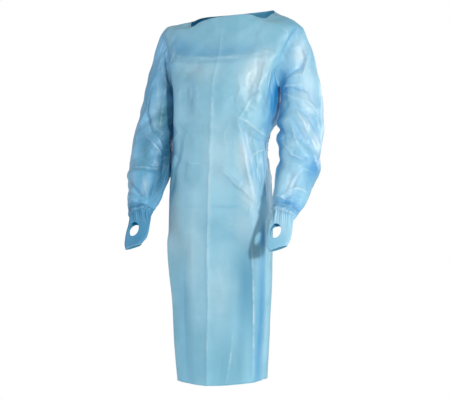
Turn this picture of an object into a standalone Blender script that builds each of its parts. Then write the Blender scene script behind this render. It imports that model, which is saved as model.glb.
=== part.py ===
"""Isolation gown in thin plastic film, worn and open, with nobody in it.

The gown faces -Y and its wearer's left side is at +X. The origin is where the
wearer's shoulders carry it, midway between the two ends of the neck opening.
Each piece of film is a wall through rings that are worked out from the tables below.
All lengths are in metres, and the angles in the tables are in degrees.
"""

import math
from collections import namedtuple

import bpy
import numpy as np

WALL = 0.0016
SEAM_GAP = 0.0003

# The film's colour on each kind of piece, in linear light, and how rough it is.
Film = namedtuple("Film", "red green blue roughness")
FILMS = {
    "body": Film(0.29, 0.52, 0.65, 0.35),
    "sleeve": Film(0.27, 0.54, 0.70, 0.32),
    "cuff": Film(0.33, 0.56, 0.68, 0.36),
    "tie": Film(0.29, 0.52, 0.65, 0.38),
}
SMOOTH_BELOW = math.radians(50)

# Rings round the body, from the hem up. Front and back are depths from the ring's own middle,
# sway shifts a ring sideways, and ridge is how far the pressed fold stands out in front.
# The rises lift the front and the back of a ring, and dip lowers the neckline near its ends.
Ring = namedtuple(
    "Ring", "height half_width front back middle_y sway front_rise back_rise dip tilt ridge"
)
BODY_RINGS = (
    Ring(-1.137, 0.142, 0.107, 0.108, -0.044, -0.015, -0.010, -0.004, 0.000, 0.020, 0.013),
    Ring(-1.040, 0.150, 0.102, 0.110, -0.045, -0.018, -0.004, 0.000, 0.000, 0.010, 0.011),
    Ring(-0.890, 0.161, 0.091, 0.114, -0.047, -0.020, 0.000, 0.000, 0.000, 0.000, 0.008),
    Ring(-0.740, 0.170, 0.080, 0.118, -0.054, -0.024, 0.000, 0.000, 0.000, 0.000, 0.006),
    Ring(-0.580, 0.172, 0.074, 0.112, -0.056, -0.023, 0.000, 0.000, 0.000, 0.000, 0.005),
    Ring(-0.380, 0.162, 0.068, 0.088, -0.054, -0.021, 0.000, 0.000, 0.000, 0.000, 0.004),
    Ring(-0.300, 0.174, 0.101, 0.112, -0.040, -0.008, 0.000, 0.000, 0.000, 0.000, 0.004),
    Ring(-0.205, 0.181, 0.108, 0.114, -0.034, -0.004, 0.000, 0.000, 0.000, 0.000, 0.004),
    Ring(-0.135, 0.200, 0.098, 0.108, -0.026, -0.002, -0.012, -0.006, 0.000, 0.000, 0.003),
    Ring(-0.060, 0.222, 0.086, 0.096, -0.014, 0.000, -0.036, -0.012, 0.000, -0.010, 0.003),
    Ring(0.002, 0.232, 0.076, 0.084, -0.006, 0.000, -0.036, -0.006, 0.004, -0.025, 0.002),
    Ring(0.030, 0.143, 0.073, 0.075, 0.000, 0.000, -0.004, 0.021, 0.018, 0.040, 0.002),
)
UNDERARM_LEVEL = 7.0
SHOULDER_LEVEL = 10.0
NECK_LEVEL = len(BODY_RINGS) - 1.0
SQUARENESS = 0.13
RIDGE_SPREAD = 0.030
BACK_RISE_SPREAD = 0.12
LOWEST_DIP = 0.1055

# How far each armhole bites into the front and the back, as an angle round the body.
ARMHOLE_FRONT = math.radians(24)
ARMHOLE_BACK = math.radians(22)

# The left back goes under the right one, and both end this far past the centre back.
LAP_ANGLE = math.radians(13)
LAP_CLEARANCE = 0.0015
LAP_STARTS = math.radians(125)
LAP_IS_FULL = math.radians(152)

# Large soft folds on the body, from one place to another by angle and height. Angles run from the
# front centre to the wearer's left. A positive rise is a ridge and a negative one a trough.
Fold = namedtuple("Fold", "angle height end_angle end_height spread rise")
BODY_FOLDS = (
    Fold(-48, -0.104, 60, -0.100, 0.014, 0.0030),
    Fold(52, -0.095, 50, -0.250, 0.020, 0.0060),
    Fold(70, -0.150, 66, -0.290, 0.016, -0.0070),
    Fold(34, -0.170, 38, -0.260, 0.017, -0.0050),
    Fold(-31, -0.150, -33, -0.290, 0.024, -0.0060),
    Fold(-58, -0.120, -54, -0.300, 0.020, 0.0050),
    Fold(27, -0.320, 52, -0.545, 0.017, 0.0070),
    Fold(14, -0.470, 56, -0.570, 0.015, 0.0060),
    Fold(42, -0.345, 66, -0.500, 0.018, -0.0070),
    Fold(74, -0.360, 76, -0.540, 0.018, 0.0060),
    Fold(-40, -0.350, -58, -0.520, 0.022, -0.0050),
    Fold(-18, -0.370, -24, -0.480, 0.018, 0.0040),
    Fold(60, -0.740, 62, -1.140, 0.024, 0.0070),
    Fold(36, -0.820, 34, -1.140, 0.030, -0.0060),
    Fold(-62, -0.700, -60, -1.140, 0.028, 0.0060),
    Fold(-34, -0.860, -30, -1.140, 0.030, -0.0050),
    Fold(92, -0.640, 96, -1.140, 0.024, -0.0080),
    Fold(-94, -0.620, -98, -1.140, 0.026, -0.0080),
    Fold(122, -0.440, 128, -1.140, 0.026, 0.0090),
    Fold(-120, -0.430, -124, -1.140, 0.026, 0.0090),
    Fold(150, -0.440, 152, -1.140, 0.026, -0.0080),
    Fold(-148, -0.450, -150, -1.140, 0.026, -0.0080),
    Fold(178, -0.460, 182, -1.140, 0.030, 0.0060),
    Fold(118, -0.120, 140, -0.330, 0.024, 0.0080),
    Fold(-118, -0.120, -138, -0.330, 0.024, 0.0080),
    Fold(148, -0.100, 160, -0.330, 0.024, -0.0070),
    Fold(-146, -0.100, -158, -0.330, 0.024, -0.0070),
)
FOLD_RADIUS = 0.17

# Rings down each arm, from just below the armhole to the mouth of the cuff. The sleeve ends and
# the cuff starts at one of them, and the film is drawn in below it.
Arm = namedtuple("Arm", "out forward height half_wide half_deep broad_wave gather slant")
ARM_RINGS = (
    Arm(0.248, 0.016, -0.262, 0.064, 0.076, 0.0000, 0.0000, 0.000),
    Arm(0.255, 0.030, -0.320, 0.066, 0.078, 0.0000, 0.0000, 0.000),
    Arm(0.258, 0.050, -0.385, 0.066, 0.074, 0.0000, 0.0000, 0.000),
    Arm(0.259, 0.078, -0.450, 0.064, 0.068, 0.0008, 0.0000, 0.000),
    Arm(0.255, 0.106, -0.510, 0.060, 0.061, 0.0024, 0.0000, 0.000),
    Arm(0.249, 0.134, -0.560, 0.054, 0.052, 0.0036, 0.0000, 0.000),
    Arm(0.244, 0.154, -0.592, 0.044, 0.038, 0.0028, 0.0000, 0.000),
    Arm(0.241, 0.168, -0.612, 0.036, 0.026, 0.0004, 0.0022, 0.000),
    Arm(0.242, 0.184, -0.638, 0.038, 0.012, 0.0000, 0.0008, 0.050),
    Arm(0.244, 0.198, -0.665, 0.040, 0.008, 0.0000, 0.0000, 0.160),
    Arm(0.245, 0.208, -0.690, 0.038, 0.008, 0.0000, 0.0000, 0.300),
    Arm(0.245, 0.216, -0.710, 0.034, 0.009, 0.0000, 0.0000, 0.360),
)
CUFF_START = 6.0
CUFF_END = len(ARM_RINGS) - 1.0
BROAD_WAVES = 6
GATHERS = 9

# The first stretch of a sleeve is drawn from the armhole's edge, outwards and then down.
PULL_OUT_AT_TOP = 0.190
PULL_OUT_BELOW = 0.036
UNDERARM_SLOPE = -0.25
TURN_OUT_AT_TOP = 0.3
INSIDE_ARMHOLE = 0.98
ARMHOLE_GAP = 1.4 * SEAM_GAP

# Large folds on each sleeve: turn round the arm in degrees, from its outer side over the front,
# and rows down the arm. The spread and the rise are as on the body.
SleeveFold = namedtuple("SleeveFold", "side turn along end_turn end_along spread rise")
SLEEVE_FOLDS = (
    SleeveFold(1, 120, 0.2, 20, 1.0, 0.016, -0.0080),
    SleeveFold(1, 175, 0.9, 60, 1.5, 0.015, 0.0070),
    SleeveFold(1, 170, 1.3, 50, 2.4, 0.015, -0.0080),
    SleeveFold(1, 150, 1.9, 10, 3.2, 0.017, 0.0070),
    SleeveFold(1, 190, 2.6, 80, 4.0, 0.016, -0.0070),
    SleeveFold(1, 250, 1.2, 320, 2.6, 0.022, -0.0070),
    SleeveFold(1, 340, 3.0, 240, 4.6, 0.020, 0.0060),
    SleeveFold(-1, 110, 0.4, 70, 1.5, 0.017, -0.0080),
    SleeveFold(-1, 70, 1.4, 60, 2.8, 0.018, 0.0070),
    SleeveFold(-1, 60, 2.8, 130, 3.4, 0.016, -0.0080),
    SleeveFold(-1, 10, 3.6, 110, 3.9, 0.016, 0.0070),
    SleeveFold(-1, 0, 4.2, 90, 5.6, 0.016, -0.0070),
    SleeveFold(-1, 250, 1.3, 310, 2.8, 0.022, -0.0070),
    SleeveFold(-1, 200, 3.2, 300, 4.5, 0.020, 0.0060),
)
SLEEVE_RADIUS = 0.068
ROW_LENGTH = 0.062
WRIST_ROW_LENGTH = 0.025
WRIST_GAP = 1.3 * SEAM_GAP

# The oval thumb hole, cut through both layers of each cuff and off its middle.
HOLE_ROW = 8.75
HOLE_ACROSS = -0.012
HOLE_HALF_WIDE = 0.0185
HOLE_HALF_HIGH = 0.0235
HOLE_SIDES = 20
CUTTER_HALF_DEPTH = 0.080

# The waist ties: straps of film on the back, a knot at its centre and two hanging ends.
TIE_MIDDLE = 5.0
TIE_HALF_LEVELS = 0.15
TIE_CLEARANCE = 0.0004
TIE_STEP_STARTS = math.radians(136)
TIE_STEP_ENDS = math.radians(158)
KNOT_HALF_WIDE = 0.0168
KNOT_HALF_DEEP = 0.0060
KNOT_HALF_HIGH = 0.0185
KNOT_BLUNTNESS = 0.6
TAIL_HALF_WIDE = 0.0105
TAIL_CLEARANCE = 0.0022
Tail = namedtuple("Tail", "name angle end_angle length")
TAILS = (
    Tail("tie_end_left", -4.5, -8.0, 0.235),
    Tail("tie_end_right", 4.5, 9.5, 0.275),
)

# Columns and rows of the walls. The armhole rows are also half the sides of a sleeve.
HALF_FRONT_COLUMNS = 12
BACK_COLUMNS = 11
ROWS_TO_TIE = 10
ROWS_TO_UNDERARM = 4
ARMHOLE_ROWS = 12
SHOULDER_ROWS = 3
CAP_ROWS = 6
SLEEVE_ROWS = 14
CUFF_SIDES = 4 * ARMHOLE_ROWS
CUFF_ROWS = 9
KNOT_SIDES = 16
KNOT_RINGS = 8
TAIL_ROWS = 9
TAIL_COLUMNS = 3

# Small steps from which slopes are worked out, and the rows that the height is looked up in.
SLOPE_STEP = 1e-4
PATH_STEP = 1e-3
END_STEP = 2e-4
HEIGHT_SAMPLES = 400


def table_value(rows, column, at):
    """A smooth curve through one column of a table, read at fractional row numbers."""
    values = np.array([getattr(row, column) for row in rows])
    at = np.clip(at, 0, len(values) - 1)
    low = np.minimum(np.floor(at).astype(int), len(values) - 2)
    part = at - low
    padded = np.concatenate(([2 * values[0] - values[1]], values, [2 * values[-1] - values[-2]]))
    before, first, second, after = (padded[low + step] for step in range(4))
    return (
        first
        + 0.5 * part * (second - before)
        + part**2 * (before - 2.5 * first + 2 * second - 0.5 * after)
        + part**3 * (1.5 * (first - second) + 0.5 * (after - before))
    )


def smooth_step(value, low, high):
    part = np.clip((value - low) / (high - low), 0, 1)
    return part * part * (3 - 2 * part)


def level_at(height):
    """The level between rings at which the body has this height."""
    levels = np.linspace(0, NECK_LEVEL, HEIGHT_SAMPLES)
    return np.interp(height, table_value(BODY_RINGS, "height", levels), levels)


def unit(vectors):
    return vectors / np.linalg.norm(vectors, axis=-1, keepdims=True)


def fold_rise(across, up, end_across, end_up, spread, rise):
    """Height of one soft fold at a point that lies (across, up) from the fold's start."""
    share = (across * end_across + up * end_up) / (end_across**2 + end_up**2)
    share = np.clip(share, 0, 1)
    distance = np.hypot(across - share * end_across, up - share * end_up)
    return rise * np.exp(-((distance / spread) ** 2))


def wrapped(angle):
    """The same angle between minus half a turn and half a turn."""
    return (angle + math.pi) % (2 * math.pi) - math.pi


def body_folds(angle, height):
    total = np.zeros_like(angle)
    for fold in BODY_FOLDS:
        across = wrapped(angle - math.radians(fold.angle)) * FOLD_RADIUS
        end_across = math.radians(fold.end_angle - fold.angle) * FOLD_RADIUS
        end_up = fold.end_height - fold.height
        total = total + fold_rise(
            across, height - fold.height, end_across, end_up, fold.spread, fold.rise
        )
    return total


def body_surface(angle, level):
    """The middle of the film at an angle from the front centre and at a level between rings."""
    ring = {name: table_value(BODY_RINGS, name, level) for name in Ring._fields}
    side, ahead = np.sin(angle), np.cos(angle)
    in_front = ahead > 0
    folds = body_folds(angle, ring["height"])
    from_ridge = np.abs(wrapped(angle)) * ring["half_width"]
    ridge = ring["ridge"] * np.exp(-from_ridge / RIDGE_SPREAD)
    x = ring["half_width"] * side * (1 + SQUARENESS * ahead**2) + folds * side
    depth = np.where(in_front, ring["front"], ring["back"])
    y = -depth * ahead * (1 + SQUARENESS * side**2) - folds * ahead - ridge
    back_share = ahead**2 * (1 + BACK_RISE_SPREAD) / (ahead**2 + BACK_RISE_SPREAD)
    rise = np.where(in_front, ring["front_rise"] * ahead**2, ring["back_rise"] * back_share)
    dip = np.where(in_front, ring["dip"], 0) * side**6 * ahead**2 / LOWEST_DIP
    z = ring["height"] + rise + ring["tilt"] * x - dip
    return np.stack([x + ring["sway"], y + ring["middle_y"], z], axis=-1)


def surface_normals(surface, across, along):
    """Unit normals of a surface that is a function of two parameters."""
    step = SLOPE_STEP
    side = surface(across + step, along) - surface(across - step, along)
    up = surface(across, along + step) - surface(across, along - step)
    return unit(np.cross(side, up))


def armhole_edge(turn, shrink=1.0):
    """Angle and level of the left armhole's edge, at a turn from its top round the front."""
    middle = (SHOULDER_LEVEL + UNDERARM_LEVEL) / 2
    half = (SHOULDER_LEVEL - UNDERARM_LEVEL) / 2
    bite = np.where(np.sin(turn) > 0, ARMHOLE_FRONT, ARMHOLE_BACK)
    return math.pi / 2 - shrink * bite * np.sin(turn), middle + shrink * half * np.cos(turn)


def body_rows():
    """Levels of a body panel's rows, and each row's turn round the armhole, or nan off it."""
    tie_low, tie_high = TIE_MIDDLE - TIE_HALF_LEVELS, TIE_MIDDLE + TIE_HALF_LEVELS
    skirt = np.linspace(0, tie_low, ROWS_TO_TIE + 1)
    waist = np.array([TIE_MIDDLE])
    chest = np.linspace(tie_high, UNDERARM_LEVEL, ROWS_TO_UNDERARM + 1)[:-1]
    turns = np.linspace(math.pi, 0, ARMHOLE_ROWS + 1)
    shoulder = np.linspace(SHOULDER_LEVEL, NECK_LEVEL, SHOULDER_ROWS + 1)[1:]
    below = np.concatenate([skirt, waist, chest])
    levels = np.concatenate([below, armhole_edge(turns)[1], shoulder])
    row_turns = np.full(len(levels), np.nan)
    row_turns[len(below) : len(below) + len(turns)] = turns
    return levels, row_turns


def panel_grid(edge_sign, inner_angle, columns):
    """Angles and levels of a panel between an inner edge and the side seam and armhole."""
    levels, turns = body_rows()
    bite = ARMHOLE_FRONT if edge_sign < 0 else ARMHOLE_BACK
    in_armhole = ~np.isnan(turns)
    width = table_value(BODY_RINGS, "half_width", levels)
    edge = np.full(len(levels), math.pi / 2) + edge_sign * SEAM_GAP / 2 / width
    edge[in_armhole] += edge_sign * bite * np.sin(turns[in_armhole])
    share = np.linspace(0, 1, columns + 1)
    angles = inner_angle + (edge[:, None] - inner_angle) * share[None, :]
    return angles, np.repeat(levels[:, None], columns + 1, axis=1)


def film_material(name, film):
    material = bpy.data.materials.new(name)
    material.use_nodes = True
    shader = material.node_tree.nodes["Principled BSDF"]
    shader.inputs["Base Color"].default_value = (film.red, film.green, film.blue, 1)
    shader.inputs["Roughness"].default_value = film.roughness
    shader.inputs["Metallic"].default_value = 0
    return material


def mesh_object(name, vertices, faces, kind=None):
    """An object with its own film of one kind, or with no material for a cutter."""
    mesh = bpy.data.meshes.new(name)
    mesh.from_pydata(vertices, [], faces)
    mesh.shade_smooth()
    mesh.set_sharp_from_angle(angle=SMOOTH_BELOW)
    if kind:
        mesh.materials.append(film_material(name + "_film", FILMS[kind]))
    piece = bpy.data.objects.new(name, mesh)
    bpy.context.scene.collection.objects.link(piece)
    return piece


def wall_object(name, points, normals, kind, around=False):
    """A closed wall of film, from the points down its middle in rows and columns."""
    rows, columns = points.shape[:2]
    outer = (points + normals * WALL / 2).reshape(-1, 3)
    inner = (points - normals * WALL / 2).reshape(-1, 3)
    count = rows * columns
    steps = columns if around else columns - 1
    faces = []

    def corner(row, column, inside=False):
        return row * columns + column % columns + (count if inside else 0)

    def rim(start, end):
        """The face across the thickness, outwards of an edge that runs with the film at its left."""
        faces.append((end, start, start + count, end + count))

    for row in range(rows - 1):
        for column in range(steps):
            a, b = corner(row, column), corner(row, column + 1)
            c, d = corner(row + 1, column + 1), corner(row + 1, column)
            faces.extend([(a, b, c), (a, c, d)])
            faces.extend([(a + count, c + count, b + count), (a + count, d + count, c + count)])
    for column in range(steps):
        rim(corner(0, column), corner(0, column + 1))
        rim(corner(rows - 1, column + 1), corner(rows - 1, column))
    if not around:
        for row in range(rows - 1):
            rim(corner(row + 1, 0), corner(row, 0))
            rim(corner(row, columns - 1), corner(row + 1, columns - 1))
    return mesh_object(name, np.concatenate([outer, inner]).tolist(), faces, kind)


def front_panel():
    angles, levels = panel_grid(-1, 0.0, HALF_FRONT_COLUMNS)
    angles = np.concatenate([-angles[:, :0:-1], angles], axis=1)
    levels = np.concatenate([levels[:, :0:-1], levels], axis=1)
    points = body_surface(angles, levels)
    wall_object("front", points, surface_normals(body_surface, angles, levels), "body")


def lap_lift(side, angles):
    """How far a back panel stands off the body's own surface: only the right one is lifted."""
    if side > 0:
        return np.zeros_like(angles)
    return (WALL + LAP_CLEARANCE) * smooth_step(angles, LAP_STARTS, LAP_IS_FULL)


def back_points(side, angles, levels, lift):
    """Points and normals on the back, moved out by a lift. Angles are positive on both sides."""
    normals = surface_normals(body_surface, side * angles, levels)
    points = body_surface(side * angles, levels) + normals * lift[..., None]
    if side > 0:
        return points[:, ::-1], normals[:, ::-1]
    return points, normals


def back_panels():
    for name, side in (("back_left", 1), ("back_right", -1)):
        angles, levels = panel_grid(1, math.pi + LAP_ANGLE, BACK_COLUMNS)
        points, normals = back_points(side, angles, levels, lap_lift(side, angles))
        wall_object(name, points, normals, "body")


def tie_straps():
    """Each strap is made from its back panel's own points, moved out, and stops at the knot."""
    for name, side in (("tie_left", 1), ("tie_right", -1)):
        angles, levels = panel_grid(1, math.pi + LAP_ANGLE, BACK_COLUMNS)
        angles, levels = (grid[ROWS_TO_TIE : ROWS_TO_TIE + 3, 2:] for grid in (angles, levels))
        lift = lap_lift(side, angles) + WALL + TIE_CLEARANCE
        if side > 0:
            over_lap = WALL + LAP_CLEARANCE + 3 * TIE_CLEARANCE
            lift = lift + over_lap * smooth_step(angles, TIE_STEP_STARTS, TIE_STEP_ENDS)
        points, normals = back_points(side, angles, levels, lift)
        wall_object(name, points, normals, "tie")


def knot_centre():
    centre = body_surface(np.array(math.pi), np.array(TIE_MIDDLE))
    out = 2 * WALL + LAP_CLEARANCE + TIE_CLEARANCE + KNOT_HALF_DEEP
    return centre + np.array([0, out, 0])


def tie_knot():
    """A small lump with rounded sides, made of rings stacked from its bottom to its top."""
    sides, rings = KNOT_SIDES, KNOT_RINGS
    centre = knot_centre()
    vertices = []
    for ring in range(1, rings):
        lean = math.pi * ring / rings
        for step in range(sides):
            turn = 2 * math.pi * step / sides
            reach = math.sin(lean) ** KNOT_BLUNTNESS
            offset = np.array(
                [
                    KNOT_HALF_WIDE * reach * math.cos(turn),
                    KNOT_HALF_DEEP * reach * math.sin(turn),
                    -KNOT_HALF_HIGH * math.cos(lean),
                ]
            )
            vertices.append((centre + offset).tolist())
    faces = [tuple(range(sides))[::-1], tuple(range((rings - 2) * sides, (rings - 1) * sides))]
    for ring in range(rings - 2):
        for step in range(sides):
            a, b = ring * sides + step, ring * sides + (step + 1) % sides
            faces.append((a, b, b + sides, a + sides))
    mesh_object("tie_knot", vertices, faces, "tie")


def tie_tails():
    """The free ends of the ties hang from the knot over the right back panel."""
    strap_edge = body_surface(np.array(math.pi), np.array(TIE_MIDDLE - TIE_HALF_LEVELS))
    top = strap_edge[2] - 2 * SEAM_GAP
    for tail in TAILS:
        down = np.linspace(0, tail.length, TAIL_ROWS)
        level = level_at(top - down)
        slant = (tail.end_angle - tail.angle) * down / tail.length
        middle = math.pi + np.radians(tail.angle + slant)
        width = table_value(BODY_RINGS, "half_width", level)
        spread = np.linspace(-1, 1, TAIL_COLUMNS)
        angles = middle[:, None] - spread[None, :] * TAIL_HALF_WIDE / width[:, None]
        levels = np.repeat(level[:, None], TAIL_COLUMNS, axis=1)
        normals = surface_normals(body_surface, angles, levels)
        lift = 2 * WALL + LAP_CLEARANCE + TAIL_CLEARANCE
        points = body_surface(angles, levels) + normals * lift
        wall_object(tail.name, points[::-1, ::-1], normals[::-1, ::-1], "tie")


def arm_path(side, along):
    """Centre of the arm and its outward, forward and downward directions, at rows of its table."""

    def centre(at):
        out, ahead, height = (table_value(ARM_RINGS, name, at) for name in Arm._fields[:3])
        return np.stack([side * out, -ahead, height], axis=-1)

    down = unit(centre(along + PATH_STEP) - centre(along - PATH_STEP))
    outward = np.zeros_like(down)
    outward[..., 0] = side
    outward = unit(outward - down * np.sum(outward * down, axis=-1, keepdims=True))
    forward = np.cross(down, outward) * side
    return centre(along), outward, forward, down


def sleeve_folds(side, turn, along):
    total = np.zeros_like(turn)
    for fold in SLEEVE_FOLDS:
        if fold.side == side:
            across = wrapped(turn - math.radians(fold.turn)) * SLEEVE_RADIUS
            end_across = math.radians(fold.end_turn - fold.turn) * SLEEVE_RADIUS
            down = (along - fold.along) * ROW_LENGTH
            end_down = (fold.end_along - fold.along) * ROW_LENGTH
            total = total + fold_rise(across, down, end_across, end_down, fold.spread, fold.rise)
    return total


def arm_surface(side):
    """The film round the arm, by the turn from its outer side over the front and the row."""

    def surface(turn, along):
        centre, outward, forward, down = arm_path(side, along)
        ring = {name: table_value(ARM_RINGS, name, along) for name in Arm._fields[3:]}
        waves = ring["broad_wave"] * np.cos(BROAD_WAVES * turn + side)
        waves = waves + ring["gather"] * np.cos(GATHERS * turn)
        rise = waves + sleeve_folds(side, turn, along)
        wide = (ring["half_wide"] + rise) * np.cos(turn)
        deep = (ring["half_deep"] + rise) * np.sin(turn)
        drop = -ring["slant"] * wide * side
        return (
            centre + outward * wide[..., None] + forward * deep[..., None] + down * drop[..., None]
        )

    return surface


def sleeve_surface(side):
    """The sleeve, which runs from 0 to 1 over its cap and then on down the arm's rows."""
    arm = arm_surface(side)

    def surface(turn, along):
        angle, level = armhole_edge(turn)
        inner_angle, inner_level = armhole_edge(turn, INSIDE_ARMHOLE)
        edge = body_surface(side * angle, level)
        onward = unit(body_surface(side * inner_angle, inner_level) - edge)
        turn_out = (TURN_OUT_AT_TOP + (1 - TURN_OUT_AT_TOP) * (1 - np.cos(turn)) / 2)[..., None]
        leave = unit(onward * (1 - turn_out) + np.array([side, 0, UNDERARM_SLOPE]) * turn_out)
        under = ((1 - np.cos(turn)) / 2)[..., None] ** 2
        bend = np.sqrt(1 - np.clip(np.sum(onward * leave, axis=-1, keepdims=True), 0, 1) ** 2)
        start = edge + onward * (ARMHOLE_GAP + bend * WALL / 2)
        start = start + np.array([side, 0, 0]) * bend * (WALL / 2 + SEAM_GAP) * under
        top = np.zeros_like(along)
        end = arm(turn, top)
        down = arm_path(side, top)[3]
        upper = (1 + np.cos(turn)) / 2
        pull = (PULL_OUT_BELOW + (PULL_OUT_AT_TOP - PULL_OUT_BELOW) * upper)[..., None]
        part = np.clip(along, -2 * SLOPE_STEP, 1)[..., None]
        cap = (
            start * (2 * part**3 - 3 * part**2 + 1)
            + leave * pull * (part**3 - 2 * part**2 + part)
            + end * (3 * part**2 - 2 * part**3)
            + down * pull * (part**3 - part**2)
        )
        below = arm(turn, np.maximum(along - 1, 0))
        return np.where((along <= 1)[..., None], cap, below)

    return surface


def ring_wall(name, side, surface, turns, along, halves_first_ring=False):
    """A tube of film through a surface's rings, with its normals kept inside the two ends.

    Where the first ring has twice the sides of the tube it meets, every second point is put
    midway between its neighbours, so that the two ends keep their gap.
    """
    turn, run = np.meshgrid(turns, along)
    inside_run = np.clip(run, along[0] + END_STEP, along[-1] - END_STEP)
    points = surface(turn, run)
    normals = surface_normals(surface, turn, inside_run) * side
    if halves_first_ring:
        for grid in (points, normals):
            grid[0, 1::2] = (grid[0, ::2] + np.roll(grid[0, ::2], -1, axis=0)) / 2
    kind = "cuff" if halves_first_ring else "sleeve"
    return wall_object(name, points[:, ::side], normals[:, ::side], kind, around=True)


def sleeves():
    last = CUFF_START + 1
    cap = np.linspace(0, 1, CAP_ROWS + 1)[:-1]
    along = np.concatenate([cap, np.linspace(1, last, SLEEVE_ROWS + 1)])
    turns = np.arange(2 * ARMHOLE_ROWS) * math.pi / ARMHOLE_ROWS
    for name, side in (("sleeve_left", 1), ("sleeve_right", -1)):
        ring_wall(name, side, sleeve_surface(side), turns, along)


def thumb_cutter(name, side):
    """A hidden oval bar through both layers of a cuff, square to its flat face."""
    centre, outward, forward, down = arm_path(side, np.array(HOLE_ROW))
    outward = outward * side
    centre = centre + outward * HOLE_ACROSS
    front, rear = [], []
    for step in range(HOLE_SIDES):
        turn = 2 * math.pi * step / HOLE_SIDES
        rim = centre + outward * HOLE_HALF_WIDE * math.cos(turn)
        rim = rim - down * HOLE_HALF_HIGH * math.sin(turn)
        front.append((rim + forward * CUTTER_HALF_DEPTH).tolist())
        rear.append((rim - forward * CUTTER_HALF_DEPTH).tolist())
    sides = [
        (step, step + HOLE_SIDES, (step + 1) % HOLE_SIDES + HOLE_SIDES, (step + 1) % HOLE_SIDES)
        for step in range(HOLE_SIDES)
    ]
    caps = [tuple(range(HOLE_SIDES)), tuple(range(HOLE_SIDES, 2 * HOLE_SIDES))[::-1]]
    cutter = mesh_object(name, front + rear, sides + caps)
    cutter.hide_render = True
    cutter.display_type = "WIRE"
    return cutter


def cuffs():
    turns = np.arange(CUFF_SIDES) * 2 * math.pi / CUFF_SIDES
    first_row = CUFF_START + WRIST_GAP / WRIST_ROW_LENGTH
    along = np.linspace(first_row, CUFF_END, CUFF_ROWS + 1)
    for name, side in (("cuff_left", 1), ("cuff_right", -1)):
        cuff = ring_wall(name, side, arm_surface(side), turns, along, halves_first_ring=True)
        hole = cuff.modifiers.new("thumb_hole", "BOOLEAN")
        hole.operation = "DIFFERENCE"
        hole.solver = "EXACT"
        hole.object = thumb_cutter(name + "_cutter", side)


def clear_scene():
    for piece in list(bpy.data.objects):
        bpy.data.objects.remove(piece)


def main():
    clear_scene()
    front_panel()
    back_panels()
    tie_straps()
    tie_knot()
    tie_tails()
    sleeves()
    cuffs()


main()
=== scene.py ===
import math
from collections import namedtuple

import bpy
import numpy as np
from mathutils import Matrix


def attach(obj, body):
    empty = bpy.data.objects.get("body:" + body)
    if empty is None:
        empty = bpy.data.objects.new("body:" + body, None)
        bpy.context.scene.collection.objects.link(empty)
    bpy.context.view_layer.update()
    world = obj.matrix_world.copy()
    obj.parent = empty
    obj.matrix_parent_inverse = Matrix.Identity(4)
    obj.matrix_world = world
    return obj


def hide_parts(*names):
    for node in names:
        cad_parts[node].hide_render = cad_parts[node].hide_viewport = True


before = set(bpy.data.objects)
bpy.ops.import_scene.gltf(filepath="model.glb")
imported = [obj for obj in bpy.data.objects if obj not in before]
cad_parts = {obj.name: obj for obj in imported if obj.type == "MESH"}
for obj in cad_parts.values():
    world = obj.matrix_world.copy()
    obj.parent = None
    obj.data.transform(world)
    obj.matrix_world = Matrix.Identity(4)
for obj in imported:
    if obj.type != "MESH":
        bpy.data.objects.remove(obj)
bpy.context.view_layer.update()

print("frame loaded:", len(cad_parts), "nodes")

# The gown faces -Y, its wearer's left is at +X, and the origin is between its shoulders.
# Metres everywhere, and the angles in the tables are in degrees.

# The gown's form: the same rings and large folds as the solids have.
Ring = namedtuple(
    "Ring", "height halfWidth front back middleY sway frontRise backRise dip tilt ridge"
)
bodyRings = [Ring(*row) for row in (
    (-1.137, 0.142, 0.107, 0.108, -0.044, -0.015, -0.01, -0.004, 0, 0.02, 0.013),
    (-1.04, 0.15, 0.102, 0.11, -0.045, -0.018, -0.004, 0, 0, 0.01, 0.011),
    (-0.89, 0.161, 0.091, 0.114, -0.047, -0.02, 0, 0, 0, 0, 0.008),
    (-0.74, 0.17, 0.08, 0.118, -0.054, -0.024, 0, 0, 0, 0, 0.006),
    (-0.58, 0.172, 0.074, 0.112, -0.056, -0.023, 0, 0, 0, 0, 0.005),
    (-0.38, 0.162, 0.068, 0.088, -0.054, -0.021, 0, 0, 0, 0, 0.004),
    (-0.3, 0.174, 0.101, 0.112, -0.04, -0.008, 0, 0, 0, 0, 0.004),
    (-0.205, 0.181, 0.108, 0.114, -0.034, -0.004, 0, 0, 0, 0, 0.004),
    (-0.135, 0.2, 0.098, 0.108, -0.026, -0.002, -0.012, -0.006, 0, 0, 0.003),
    (-0.06, 0.222, 0.086, 0.096, -0.014, 0, -0.036, -0.012, 0, -0.01, 0.003),
    (0.002, 0.232, 0.076, 0.084, -0.006, 0, -0.036, -0.006, 0.004, -0.025, 0.002),
    (0.03, 0.143, 0.073, 0.075, 0, 0, -0.004, 0.021, 0.018, 0.04, 0.002),
)]
bodyForm = {
    "underarmLevel": 7.0,
    "shoulderLevel": 10.0,
    "neckLevel": len(bodyRings) - 1.0,
    "squareness": 0.13,
    "ridgeSpread": 0.030,
    "backRiseSpread": 0.12,
    "lowestDip": 0.1055,
    "armholeFront": math.radians(24),
    "armholeBack": math.radians(22),
    "foldRadius": 0.17,
    "lapAngle": math.radians(13),
    "lapStarts": math.radians(125),
    "lapIsFull": math.radians(152),
    "lapLift": 0.0014,
    "seamGap": 0.0003,
    "neckSag": 0.009,  # the neck's edge droops a little over the right collarbone
    "sagAngle": math.radians(-38),
    "sagSpread": math.radians(24),
    "sagFrom": 10.1,
}
Fold = namedtuple("Fold", "angle height endAngle endHeight spread rise")
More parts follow.
